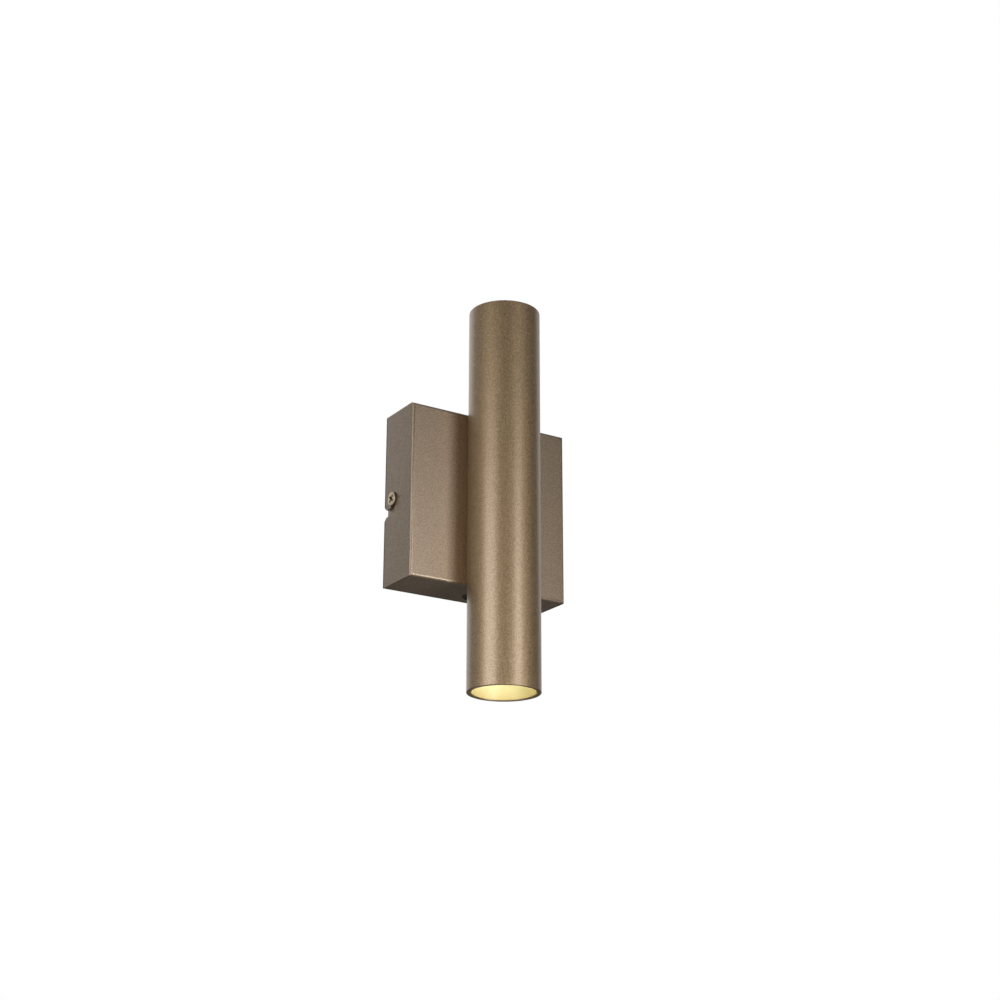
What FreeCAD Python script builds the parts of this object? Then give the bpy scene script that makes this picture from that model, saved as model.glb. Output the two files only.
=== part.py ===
import FreeCAD, Part
import Sketcher
import math
import os
import re

# Wall spotlight: an up and down lamp tube on a square box that hangs on a wall plate
# X points right, Z points up and the wall is the plane Y = 0, so the lamp stands out towards -Y
# The origin is the middle of the wall plate's back face; "out" is the distance from the wall

SIZES = {
    # Box cover, folded from one sheet
    "box_width": 100,
    "box_height": 100,
    "box_depth": 30,
    "cover_sheet": 1,
    "fold_radius": 1.6,
    "seam_gap": 0.3,
    "wall_gap": 0.3,
    # Hook slots in the cover's side walls, and the screws that the cover hangs on
    "screw_out": 9.5,
    "screw_drop": 1,
    "hook_width": 4.3,
    "hook_drop": 6.7,
    "mouth_flare": 2,
    # Blind grommet in the cover's bottom face
    "entry_out": 13.9,
    "entry_hole": 11,
    "entry_flange": 13,
    "entry_lip": 0.8,
    "entry_snap": 1.4,
    "entry_web": 0.8,
    # Lamp tube
    "tube_diameter": 40,
    "tube_wall": 2,
    "tube_length": 220,
    "tube_sink": 5,
    "tube_drop": 1,
    "tube_clearance": 0.2,
    "rim_round": 0.4,
    # Gap that parts of one assembly keep from a curved or loose seat
    "rest_gap": 0.3,
    # Radial clearance of a screw in its thread, and of a pressed sleeve in its hole
    "thread_clearance": 0.05,
    "sleeve_clearance": 0.1,
    # Wall plate
    "plate_sheet": 1.5,
    "plate_end_gap": 10,
    "plate_corner": 4,
    "tab_gap": 0.5,
    "tab_neck": 4.5,
    "tab_rise": 11,
    "tab_fall": 15,
    "tab_reach": 16,
    "tab_corner": 3,
    "bend_radius": 2,
    "wall_slot_inset": 14,
    "wall_slot_width": 5,
    "wall_slot_length": 12,
    "cable_hole": 20,
    "nut_width": 7,
    "nut_height": 3,
    # Grommet of the cable hole
    "cable_bore": 12,
    "cable_flange": 25,
    "cable_lip": 1.5,
    # Large screws: cover screws, tube screws and the earth screw
    "large_screw": 4,
    "large_head": 8,
    "large_head_height": 1.2,
    "large_hole_clearance": 0.15,
    "cover_screw_length": 8,
    "head_seat_gap": 0.05,
    "tube_screw_length": 9,
    "earth_screw_length": 4,
    "washer_diameter": 9,
    "washer_height": 0.8,
    # Middle screws: driver, terminal block and the radial screws in the tube
    "middle_screw": 3,
    "middle_head": 5.5,
    "middle_head_height": 1.6,
    "driver_screw_length": 5,
    "block_screw_length": 16,
    "module_screw_length": 5,
    # Small screws on the LED boards
    "small_screw": 2.5,
    "small_head": 4.5,
    "small_head_height": 1.4,
    "board_screw_length": 5,
    # Tube bracket, a hat section behind the tube
    "bracket_sheet": 1.5,
    "bracket_end_gap": 3,
    "bracket_half_web": 17.5,
    "bracket_foot": 8,
    # Screws through bracket, tube and backing bar
    "tube_screw_pitch": 24,
    "bar_height": 44,
    "bar_thickness": 3.8,
    # Lead bush through bracket, tube and backing bar
    "bush_hole": 9,
    "bush_bore": 6.6,
    "bush_flange": 12,
    "bush_lip": 1,
    # Light unit at each end, measured inwards from the tube's mouth
    "mouth_recess": 0.5,
    "reflector_depth": 16.5,
    "reflector_wall": 1,
    "reflector_lip": 0.5,
    "reflector_waist": 22,
    "lens_edge": 2,
    "lens_dome": 19,
    "lens_crown": 2.5,
    "crown_round_share": 0.8,
    "sink_rim": 2.5,
    "sink_cup": 6,
    "sink_disc": 4,
    "fin_length": 22,
    "fin_sheet": 1.4,
    "fin_count": 12,
    "fin_core": 13,
    "board_gap": 1.2,
    "board_sheet": 1.6,
    "board_screw_inset": 3.5,
    "chip_gap": 1.75,
    "chip_height": 1,
    "chip_light_share": 0.77,
    "chip_gel": 0.5,
    "lead_port": 4.8,
    "lead_port_inset": 3,
    # LED driver
    "driver_width": 68,
    "driver_top_gap": 4,
    "driver_depth": 16,
    "driver_base": 22,
    "driver_wall": 1.6,
    "driver_lid_sheet": 2,
    "driver_lip": 2,
    "driver_corner": 2,
    "ear_width": 8,
    "ear_height": 7,
    "ear_sheet": 2.5,
    "ear_offset": 7,
    "driver_board_sheet": 1.6,
    "driver_board_stand": 1.5,
    "transformer_width": 16,
    "transformer_side": 6,
    "transformer_margin": 5,
    "transformer_depth": 8,
    "capacitor_diameter": 7,
    "capacitor_length": 11,
    "capacitor_side": 8.6,
    "header_width": 12,
    "header_height": 6,
    "header_depth": 9,
    "header_well": 2.6,
    "well_depth": 3,
    # Terminal block
    "block_width": 30,
    "block_height": 16,
    "block_depth": 14,
    "block_top": -22,
    "pole_pitch": 10,
    "pole_well": 4.4,
    "sleeve_diameter": 5,
    "sleeve_bore": 3.2,
    "sleeve_inset": 1,
    "clamp_screw": 2.6,
    "clamp_pitch": 7,
    "clamp_length": 5,
    "block_chamfer": 1,
    # Earth point on the bracket
    "earth_rise": 8,
    "ring_diameter": 8,
    "ring_sheet": 0.8,
    "barrel_diameter": 3.6,
    "barrel_length": 5,
    # Leads held inside
    "mains_lead": 2,
    "mains_bend": 4,
    "led_lead": 1.5,
    "led_bend": 2.4,
    "lead_spread": 1.1,
    "lead_entry": 2,
    "plus_out": 13,
    "minus_out": 16,
    "upper_pair_side": 21,
    "lower_pair_side": 25,
    "pad_step": 3.6,
    "pad_gap": 0.05,
    "live_side": 24,
    "live_turn": 5,
    "neutral_side": 18,
    "neutral_turn": 10,
    "earth_drop": 15,
    "earth_turn": 8,
    # Cross recess of every screw, as shares of its head, and the turn that it is left at when tight
    "recess_turn": 48,
    "recess_width_share": 0.17,
    "recess_span_share": 0.62,
    "recess_depth_share": 0.6,
    "crown_drop_share": 0.35,
    "crown_width_share": 0.9,
    "screw_tip_share": 0.25,
    # Shares of the piece that carries them: a fin's root, the clamp screw's slit, the ear's round
    # and the ring terminal's tongue
    "fin_root_share": 0.25,
    "slit_width_share": 0.1,
    "slit_depth_share": 0.25,
    "ear_round_share": 0.25,
    "tongue_width_share": 0.33,
    "tongue_start_share": 0.25,
    # Length by which a cut runs past the metal that it cuts
    "overrun": 5,
}

doc = FreeCAD.newDocument("wall_spotlight")
sheet = doc.addObject("Spreadsheet::Sheet", "sizes")
for row, (alias, number) in enumerate(SIZES.items(), start=1):
    sheet.set(f"A{row}", alias)
    sheet.set(f"B{row}", str(number))
    sheet.setAlias(f"B{row}", alias)
doc.recompute()

kept = []


# Ways of drawing that every piece uses


def bound(text):
    """Turn a formula in plain size names into one that reads the sheet."""
    return re.sub(r"\b([a-z_]+)\b(?!\()", r"sizes.\1", text)


def value(text):
    return float(sheet.evalExpression(bound(text)))


def vector(x, y, z):
    return FreeCAD.Vector(value(x), value(y), value(z))


def keep(piece):
    kept.append(piece)
    return piece


def new_body(label):
    body = doc.addObject("PartDesign::Body", label)
    body.Label = label
    return body


def sketch_on(body, role, name, lift="0", turn=0):
    plane = next(f for f in body.Origin.OriginFeatures if f.Role == role)
    sketch = body.newObject("Sketcher::SketchObject", name)
    sketch.AttachmentSupport = [(plane, "")]
    sketch.MapMode = "FlatFace"
    about_normal = FreeCAD.Rotation(FreeCAD.Vector(0, 0, 1), turn)
    sketch.AttachmentOffset = FreeCAD.Placement(FreeCAD.Vector(), about_normal)
    if lift != "0":
        sketch.setExpression("AttachmentOffset.Base.z", bound(lift))
    return sketch


def pin(sketch, geometry, point, x, y):
    for kind, axis, text in (("DistanceX", -2, x), ("DistanceY", -1, y)):
        if text == "0":
            sketch.addConstraint(Sketcher.Constraint("PointOnObject", geometry, point, axis))
        else:
            index = sketch.addConstraint(Sketcher.Constraint(kind, -1, 1, geometry, point, value(text)))
            sketch.setExpression(f"Constraints[{index}]", bound(text))


def radius_of(sketch, geometry, text):
    index = sketch.addConstraint(Sketcher.Constraint("Radius", geometry, value(text)))
    sketch.setExpression(f"Constraints[{index}]", bound(text))


def outline(sketch, points):
    corners = [vector(x, y, "0") for x, y in points]
    first = sketch.GeometryCount
    for start, end in zip(corners, corners[1:] + corners[:1]):
        sketch.addGeometry(Part.LineSegment(start, end), False)
    for side in range(len(points)):
        following = first + (side + 1) % len(points)
        sketch.addConstraint(Sketcher.Constraint("Coincident", first + side, 2, following, 1))
    for side, (x, y) in enumerate(points):
        pin(sketch, first + side, 1, x, y)


def rectangle(sketch, left, low, right, high):
    outline(sketch, [(left, low), (right, low), (right, high), (left, high)])


def circle(sketch, x, y, radius):
    ring = Part.Circle(vector(x, y, "0"), FreeCAD.Vector(0, 0, 1), value(radius))
    geometry = sketch.addGeometry(ring, False)
    pin(sketch, geometry, 3, x, y)
    radius_of(sketch, geometry, radius)


def level_slot(sketch, x, y, length, width):
    """Round-ended slot along the sketch's first axis."""
    reach = f"({length} - {width}) / 2"
    radius = value(f"{width} / 2")
    middle = [vector(f"{x} + {side}({reach})", y, "0") for side in ("", "-")]
    up = FreeCAD.Vector(0, radius, 0)
    axis = FreeCAD.Vector(0, 0, 1)
    quarter = math.pi / 2
    first = sketch.GeometryCount
    sketch.addGeometry(Part.ArcOfCircle(Part.Circle(middle[0], axis, radius), -quarter, quarter), False)
    sketch.addGeometry(Part.LineSegment(middle[0] + up, middle[1] + up), False)
    sketch.addGeometry(Part.ArcOfCircle(Part.Circle(middle[1], axis, radius), quarter, 3 * quarter), False)
    sketch.addGeometry(Part.LineSegment(middle[1] - up, middle[0] - up), False)
    for side in range(4):
        following = first + (side + 1) % 4
        sketch.addConstraint(Sketcher.Constraint("Tangent", first + side, 2, following, 1))
    pin(sketch, first, 3, f"{x} + {reach}", y)
    pin(sketch, first + 2, 3, f"{x} - {reach}", y)
    radius_of(sketch, first, f"{width} / 2")
    radius_of(sketch, first + 2, f"{width} / 2")


def pad(body, sketch, name, length, symmetric=False, reverse=False):
    feature = body.newObject("PartDesign::Pad", name)
    feature.Profile = sketch
    feature.setExpression("Length", bound(length))
    feature.SideType = "Symmetric" if symmetric else "One side"
    feature.Reversed = reverse
    return feature


def pocket(body, sketch, name, length, symmetric=False, reverse=False):
    before = volume_so_far(body)
    feature = body.newObject("PartDesign::Pocket", name)
    feature.Profile = sketch
    feature.setExpression("Length", bound(length))
    feature.SideType = "Symmetric" if symmetric else "One side"
    feature.Reversed = reverse
    doc.recompute()
    if not feature.Shape.Volume < before:
        raise RuntimeError(f"{name} of {body.Label} cuts nothing")
    return feature


def volume_so_far(body):
    doc.recompute()
    return body.Tip.Shape.Volume


def revolution(body, sketch, name):
    feature = body.newObject("PartDesign::Revolution", name)
    feature.Profile = sketch
    feature.ReferenceAxis = (sketch, ["V_Axis"])
    feature.Angle = 360
    return feature


def fillet(body, name, radius, chosen):
    doc.recompute()
    base = body.Tip
    edges = [f"Edge{i}" for i, edge in enumerate(base.Shape.Edges, start=1) if chosen(edge)]
    if not edges:
        raise RuntimeError(f"{name} of {body.Label} finds no edge")
    feature = body.newObject("PartDesign::Fillet", name)
    feature.Base = (base, edges)
    feature.setExpression("Radius", bound(radius))
    return feature


NEAR = 1e-4


def runs_along(edge, axis):
    """True for a straight edge along the axis numbered 0, 1 or 2."""
    if edge.Curve.TypeId != "Part::GeomLine":
        return False
    direction = edge.Curve.Direction
    return abs(abs(direction[axis]) - 1) < NEAR


def passes(edge, **place):
    """True where the edge's middle has the given coordinates, each a formula; its size without its sign."""
    middle = edge.CenterOfMass
    found = {"x": middle.x, "y": middle.y, "z": middle.z}
    return all(abs(abs(found[axis]) - abs(value(text))) < NEAR for axis, text in place.items())


def place(piece, x, y, z, rotation=None):
    for axis, text in zip("xyz", (x, y, z)):
        piece.setExpression(f"Placement.Base.{axis}", bound(text))
    if rotation:
        piece.Placement.Rotation = rotation
    doc.recompute()
    return piece


TO_LEFT = FreeCAD.Rotation(FreeCAD.Vector(0, 1, 0), -90)
TO_RIGHT = FreeCAD.Rotation(FreeCAD.Vector(0, 1, 0), 90)
TO_WALL = FreeCAD.Rotation(FreeCAD.Vector(1, 0, 0), -90)
HEAD_DOWN = FreeCAD.Rotation(FreeCAD.Vector(0, 1, 0), 180)

# Places that several pieces share, as distances out from the wall or from the middle
FRONT_INSIDE = "(box_depth - cover_sheet)"
TUBE_BACK = "(box_depth - tube_sink)"
TUBE_AXIS = f"({TUBE_BACK} + tube_diameter / 2)"
TUBE_BORE = "(tube_diameter / 2 - tube_wall)"
WEB_FRONT = f"({TUBE_BACK} - rest_gap)"
WEB_REAR = f"({WEB_FRONT} - bracket_sheet)"
COVER_SIDE = "(box_width / 2)"
TAB_FACE = f"({COVER_SIDE} - cover_sheet - tab_gap)"
LARGE_HOLE = "(large_screw / 2 + large_hole_clearance)"
PLATE_SIDE = f"({TAB_FACE} - tab_neck)"
PLATE_END = "(box_height / 2 - plate_end_gap)"
DRIVER_HEIGHT = "(box_height / 2 - driver_top_gap - driver_base)"

# Depths of the light unit, measured inwards from the tube's mouth
REFLECTOR_BASE = "(mouth_recess + reflector_depth)"
LENS_FACE = f"({REFLECTOR_BASE} + rest_gap)"
SINK_TOP = f"({LENS_FACE} + lens_edge + rest_gap)"
SINK_SEAT = f"({SINK_TOP} + sink_cup)"
SINK_BACK = f"({SINK_SEAT} + sink_disc)"
SINK_SCREW = f"({SINK_SEAT} + sink_disc / 2)"
FIT_RADIUS = f"({TUBE_BORE} - rest_gap)"

# Places on the LED board, from the room that the heat sink's cup leaves
BOARD_RADIUS = f"({FIT_RADIUS} - sink_rim - board_gap)"
BOARD_SCREW_AT = f"({BOARD_RADIUS} - board_screw_inset)"
CHIP_HALF = f"({BOARD_SCREW_AT} - small_head / 2 - chip_gap)"
PORT_AT = f"({BOARD_RADIUS} - lead_port_inset)"

# Heights and depths of what the bracket carries, and the middles of the driver's two wire headers
EAR_SCREW = "(driver_base - ear_height / 2)"
BLOCK_MIDDLE = "(block_top - block_height / 2)"
POLE_OUT = f"({WEB_REAR} - block_depth / 2)"
BARREL_OUT = f"({WEB_REAR} - barrel_diameter / 2)"
BOARD_FACE = "(driver_wall + driver_board_stand + driver_board_sheet)"
MAINS_MIDDLE = "((live_side + neutral_side) / 2)"
LED_MIDDLE = "(-(upper_pair_side + lower_pair_side) / 2)"

# The terminal block's three poles, along its width
POLES = ("-pole_pitch", "0", "pole_pitch")
SLEEVE_LENGTH = "(block_height - 2 * sleeve_inset)"


# Box cover: one sheet folded on four sides, with open seams at the corners


def box_cover():
    body = new_body("box_cover")
    front = sketch_on(body, "XZ_Plane", "cover_outline", "wall_gap")
    rectangle(front, "-box_width / 2", "-box_height / 2", "box_width / 2", "box_height / 2")
    pad(body, front, "cover_block", "box_depth - wall_gap")
    fillet(body, "outer_folds", "fold_radius", lambda edge: passes(edge, y="box_depth"))

    inside = sketch_on(body, "XZ_Plane", "cover_inside", "wall_gap")
    rectangle(
        inside,
        "-box_width / 2 + cover_sheet",
        "-box_height / 2 + cover_sheet",
        "box_width / 2 - cover_sheet",
        "box_height / 2 - cover_sheet",
    )
    pocket(body, inside, "cover_hollow", "box_depth - wall_gap - cover_sheet", reverse=True)
    fillet(
        body,
        "inner_folds",
        "fold_radius - cover_sheet",
        lambda edge: passes(edge, y=FRONT_INSIDE) and not passes(edge, y="box_depth"),
    )

    opening = sketch_on(body, "XY_Plane", "tube_opening")
    circle(opening, "0", f"-{TUBE_AXIS}", "tube_diameter / 2 + tube_clearance")
    pocket(body, opening, "tube_cut", "box_height + 2 * overrun", symmetric=True)

    seams = sketch_on(body, "XZ_Plane", "corner_seams", "wall_gap - overrun")
    for across in ("", "-"):
        for upward in ("", "-"):
            rectangle(
                seams,
                f"{across}(box_width / 2 - cover_sheet - seam_gap)",
                f"{upward}(box_height / 2 - cover_sheet - seam_gap)",
                f"{across}(box_width / 2 - cover_sheet)",
                f"{upward}(box_height / 2 + overrun)",
            )
    pocket(body, seams, "seam_cuts", "overrun + box_depth - wall_gap - fold_radius", reverse=True)

    hooks = sketch_on(body, "YZ_Plane", "hook_outline")
    outline(hooks, hook_points())
    pocket(body, hooks, "hook_cuts", "box_width + 2 * overrun", symmetric=True)
    seats = sketch_on(body, "YZ_Plane", "hook_seats")
    circle(seats, "-screw_out", "-screw_drop", "hook_width / 2")
    pocket(body, seats, "seat_cuts", "box_width + 2 * overrun", symmetric=True)

    entry = sketch_on(body, "XY_Plane", "entry_hole_outline")
    circle(entry, "0", "-entry_out", "entry_hole / 2")
    pocket(body, entry, "entry_cut", "box_height / 2 + overrun")
    return keep(body)


def hook_points():
    """The slot runs in from the cover's back edge, then up to the screw's seat."""
    near = "(-screw_out + hook_width / 2)"
    far = "(-screw_out - hook_width / 2)"
    upper = "(-screw_drop - hook_drop + hook_width / 2)"
    lower = "(-screw_drop - hook_drop - hook_width / 2)"
    return [
        ("overrun", f"{upper} + mouth_flare"),
        ("-wall_gap", f"{upper} + mouth_flare"),
        ("-wall_gap - mouth_flare", upper),
        (near, upper),
        (near, "-screw_drop"),
        (far, "-screw_drop"),
        (far, f"{lower} + mouth_flare / 2"),
        (f"{far} + mouth_flare / 2", lower),
        ("-wall_gap - mouth_flare", lower),
        ("-wall_gap", f"{lower} - mouth_flare"),
        ("overrun", f"{lower} - mouth_flare"),
    ]


# Blind grommet: a rubber stop that closes the cable entry in the cover's bottom face


def entry_grommet():
    body = new_body("entry_grommet")
    profile = sketch_on(body, "XZ_Plane", "grommet_profile")
    neck = "entry_hole / 2 - sleeve_clearance"
    outline(
        profile,
        [
            ("0", "-entry_web"),
            ("entry_flange / 2 - entry_lip / 2", "-entry_lip"),
            ("entry_flange / 2", "-entry_lip / 2"),
            ("entry_flange / 2", "0"),
            (neck, "0"),
            (neck, "cover_sheet"),
            ("entry_flange / 2 - entry_lip / 2", "cover_sheet"),
            (f"{neck} - entry_lip / 2", "cover_sheet + entry_snap"),
            (f"{neck} - entry_lip", "cover_sheet + entry_snap"),
            (f"{neck} - entry_snap", "0"),
            ("0", "0"),
        ],
    )
    revolution(body, profile, "grommet_turned")
    place(body, "0", "-entry_out", "-box_height / 2")
    return keep(body)


# Lamp tube: steel tube, open at both ends, with its holes at the back


def lamp_tube():
    body = new_body("lamp_tube")
    ring = sketch_on(body, "XY_Plane", "tube_section", "-tube_length / 2")
    circle(ring, "0", "0", "tube_diameter / 2")
    circle(ring, "0", "0", TUBE_BORE)
    pad(body, ring, "tube_drawn", "tube_length")
    fillet(body, "rim_edges", "rim_round", lambda edge: passes(edge, z="tube_length / 2"))

    back = sketch_on(body, "XZ_Plane", "back_holes")
    circle(back, "0", "0", "bush_hole / 2")
    module_hole = "middle_screw / 2 + large_hole_clearance"
    for side in ("", "-"):
        circle(back, "0", f"{side}(tube_screw_pitch / 2)", LARGE_HOLE)
        circle(back, "0", f"{side}(tube_length / 2 - {SINK_SCREW})", module_hole)
    pocket(body, back, "back_hole_cuts", "tube_diameter / 2 + overrun")
    place(body, "0", f"-{TUBE_AXIS}", "-tube_drop")
    return keep(body)


def at_tube_end(piece, end, x="0", y="0", depth="0", rotation=None):
    """Put a piece drawn for the upper mouth at either end; the lower one is turned about the front axis."""
    if end == "top":
        height = f"-tube_drop + tube_length / 2 - {depth}"
        return place(piece, x, f"-{TUBE_AXIS} + {y}", height, rotation)
    height = f"-tube_drop - tube_length / 2 + {depth}"
    turned = HEAD_DOWN.multiply(rotation) if rotation else HEAD_DOWN
    return place(piece, f"-({x})", f"-{TUBE_AXIS} + {y}", height, turned)


# Heat sink: cast aluminium, a cup for the LED board and twelve fins behind it


def heat_sink(end):
    body = new_body(f"heat_sink_{end}")
    cup = sketch_on(body, "XZ_Plane", f"sink_profile_{end}")
    outline(
        cup,
        [
            ("0", f"-{SINK_BACK}"),
            (FIT_RADIUS, f"-{SINK_BACK}"),
            (FIT_RADIUS, f"-{SINK_TOP}"),
            (f"{FIT_RADIUS} - sink_rim", f"-{SINK_TOP}"),
            (f"{FIT_RADIUS} - sink_rim", f"-{SINK_SEAT}"),
            ("0", f"-{SINK_SEAT}"),
        ],
    )
    revolution(body, cup, f"sink_cup_{end}")
    core = sketch_on(body, "XY_Plane", f"sink_core_outline_{end}", f"-{SINK_BACK}")
    circle(core, "0", "0", "fin_core / 2")
    pad(body, core, f"sink_core_{end}", "fin_length", reverse=True)
    half_pitch = value("180 / fin_count")
    fin = sketch_on(body, "XY_Plane", f"fin_outline_{end}", f"-{SINK_BACK}", half_pitch)
    rectangle(fin, "fin_core * fin_root_share", "-fin_sheet / 2", FIT_RADIUS, "fin_sheet / 2")
    first = pad(body, fin, f"fin_{end}", "fin_length", reverse=True)
    doc.recompute()
    around = body.newObject("PartDesign::PolarPattern", f"fins_{end}")
    around.Originals = [first]
    around.Axis = (fin, ["N_Axis"])
    around.Angle = 360
    around.setExpression("Occurrences", bound("fin_count"))
    body.Tip = around
    holes = sketch_on(body, "XY_Plane", f"sink_hole_outline_{end}", f"-{SINK_SEAT}")
    circle(holes, "0", PORT_AT, "lead_port / 2")
    pocket(body, holes, f"lead_channel_cut_{end}", "sink_disc + fin_length + rest_gap")
    threads = sketch_on(body, "XY_Plane", f"sink_thread_outline_{end}", f"-{SINK_SEAT}")
    for side in ("", "-"):
        circle(threads, f"{side}{BOARD_SCREW_AT}", "0", "small_screw / 2 + thread_clearance")
    pocket(body, threads, f"board_thread_cuts_{end}", "sink_disc + rest_gap")
    radial = sketch_on(body, "XZ_Plane", f"radial_outline_{end}", f"-({FIT_RADIUS} + overrun)")
    circle(radial, "0", f"-{SINK_SCREW}", "middle_screw / 2 + thread_clearance")
    reach = f"{FIT_RADIUS} + overrun - (tube_diameter / 2 - module_screw_length - rest_gap)"
    pocket(body, radial, f"radial_thread_cut_{end}", reach, reverse=True)
    at_tube_end(body, end)
    return keep(body)


# LED board: aluminium-core circuit board, screwed into the heat sink's cup


def led_board(end):
    body = new_body(f"led_board_{end}")
    face = sketch_on(body, "XY_Plane", f"board_outline_{end}", f"-{SINK_SEAT}")
    circle(face, "0", "0", BOARD_RADIUS)
    for side in ("", "-"):
        circle(face, f"{side}{BOARD_SCREW_AT}", "0", "small_screw / 2 + large_hole_clearance")
    pad(body, face, f"board_sheet_{end}", "board_sheet")
    port = sketch_on(body, "XY_Plane", f"board_port_outline_{end}", f"-{SINK_SEAT}")
    circle(port, "0", PORT_AT, "lead_port / 2")
    pocket(body, port, f"board_port_cut_{end}", "board_sheet + overrun", reverse=True)
    at_tube_end(body, end)
    return keep(body)


# LED chip: a square ceramic base with the round yellow light field on it


def led_chip(end):
    body = new_body(f"led_chip_{end}")
    base = sketch_on(body, "XY_Plane", f"chip_outline_{end}", f"-{SINK_SEAT} + board_sheet")
    rectangle(base, f"-{CHIP_HALF}", f"-{CHIP_HALF}", CHIP_HALF, CHIP_HALF)
    pad(body, base, f"chip_base_{end}", "chip_height")
    field = sketch_on(body, "XY_Plane", f"field_outline_{end}", f"-{SINK_SEAT} + board_sheet + chip_height")
    circle(field, "0", "0", f"{CHIP_HALF} * chip_light_share")
    pad(body, field, f"chip_field_{end}", "chip_gel")
    at_tube_end(body, end)
    return keep(body)


# Lens: frosted disc with a low crown, held between reflector and heat sink


def lens(end):
    body = new_body(f"lens_{end}")
    disc = sketch_on(body, "XY_Plane", f"lens_outline_{end}", f"-({LENS_FACE} + lens_edge)")
    circle(disc, "0", "0", FIT_RADIUS)
    pad(body, disc, f"lens_disc_{end}", "lens_edge")
    crown = sketch_on(body, "XY_Plane", f"crown_outline_{end}", f"-{LENS_FACE}")
    circle(crown, "0", "0", "lens_dome / 2")
    pad(body, crown, f"lens_crown_{end}", "lens_crown")
    top = lambda edge: abs(edge.CenterOfMass.z + value(f"{LENS_FACE} - lens_crown")) < NEAR
    fillet(body, f"crown_round_{end}", "lens_crown * crown_round_share", top)
    at_tube_end(body, end)
    return keep(body)


# Reflector: white moulded cone that lines the mouth and clamps the lens


def reflector(end):
    body = new_body(f"reflector_{end}")
    profile = sketch_on(body, "XZ_Plane", f"reflector_profile_{end}")
    skirt = "mouth_recess + 2 * reflector_wall"
    outline(
        profile,
        [
            (FIT_RADIUS, "-mouth_recess"),
            (FIT_RADIUS, f"-({skirt})"),
            ("reflector_waist / 2 + reflector_wall", f"-({REFLECTOR_BASE} - reflector_wall)"),
            (FIT_RADIUS, f"-({REFLECTOR_BASE} - reflector_wall)"),
            (FIT_RADIUS, f"-{REFLECTOR_BASE}"),
            ("reflector_waist / 2", f"-{REFLECTOR_BASE}"),
            (f"{FIT_RADIUS} - reflector_lip", "-mouth_recess"),
        ],
    )
    revolution(body, profile, f"reflector_turned_{end}")
    at_tube_end(body, end)
    return keep(body)


# Screws: low flat-topped head with a cross recess, drawn with the head up and its underside at zero


def turned(text):
    """The same formula with the other sign."""
    return text[1:] if text.startswith("-") else f"-{text}"


def screw(label, size, head, head_height, length):
    body = new_body(label)
    profile = sketch_on(body, "XZ_Plane", f"{label}_profile")
    outline(
        profile,
        [
            ("0", f"-{length}"),
            (f"{size} * screw_tip_share", f"-{length}"),
            (f"{size} / 2", f"-{length} + {size} * screw_tip_share"),
            (f"{size} / 2", "0"),
            (f"{head} / 2", "0"),
            (f"{head} / 2", f"{head_height} * (1 - crown_drop_share)"),
            (f"{head} / 2 * (1 + crown_width_share) / 2", f"{head_height} * (1 - crown_drop_share / 4)"),
            (f"{head} / 2 * crown_width_share", head_height),
            ("0", head_height),
        ],
    )
    revolution(body, profile, f"{label}_turned")
    cross = sketch_on(body, "XY_Plane", f"{label}_cross", head_height, value("recess_turn"))
    arm = f"{head} * recess_span_share / 2"
    half = f"{head} * recess_width_share / 2"
    quarter = [(arm, f"-{half}"), (arm, half), (half, half)]
    points = []
    for turn in range(4):
        points += quarter
        quarter = [(turned(y), x) for x, y in quarter]
    outline(cross, points)
    pocket(body, cross, f"{label}_recess", f"{head_height} * recess_depth_share")
    return body


def large_screw(label, length):
    return screw(label, "large_screw", "large_head", "large_head_height", length)


def middle_screw(label, length):
    return screw(label, "middle_screw", "middle_head", "middle_head_height", length)


def spread(label, master, places):
    """A group of like pieces: one drawn, the others linked to it at their places."""
    copies = []
    for number, (x, y, z, rotation) in enumerate(places, start=1):
        copy = doc.addObject("App::Link", f"{label}_{number}")
        copy.LinkedObject = master
        copy.LinkTransform = False
        copies.append(place(copy, x, y, z, rotation))
    group = doc.addObject("Part::Compound", label)
    group.Label = label
    group.Links = copies
    return keep(group)


# Wall plate: one sheet with two tabs bent forward, slots for the wall screws and a cable hole


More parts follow.
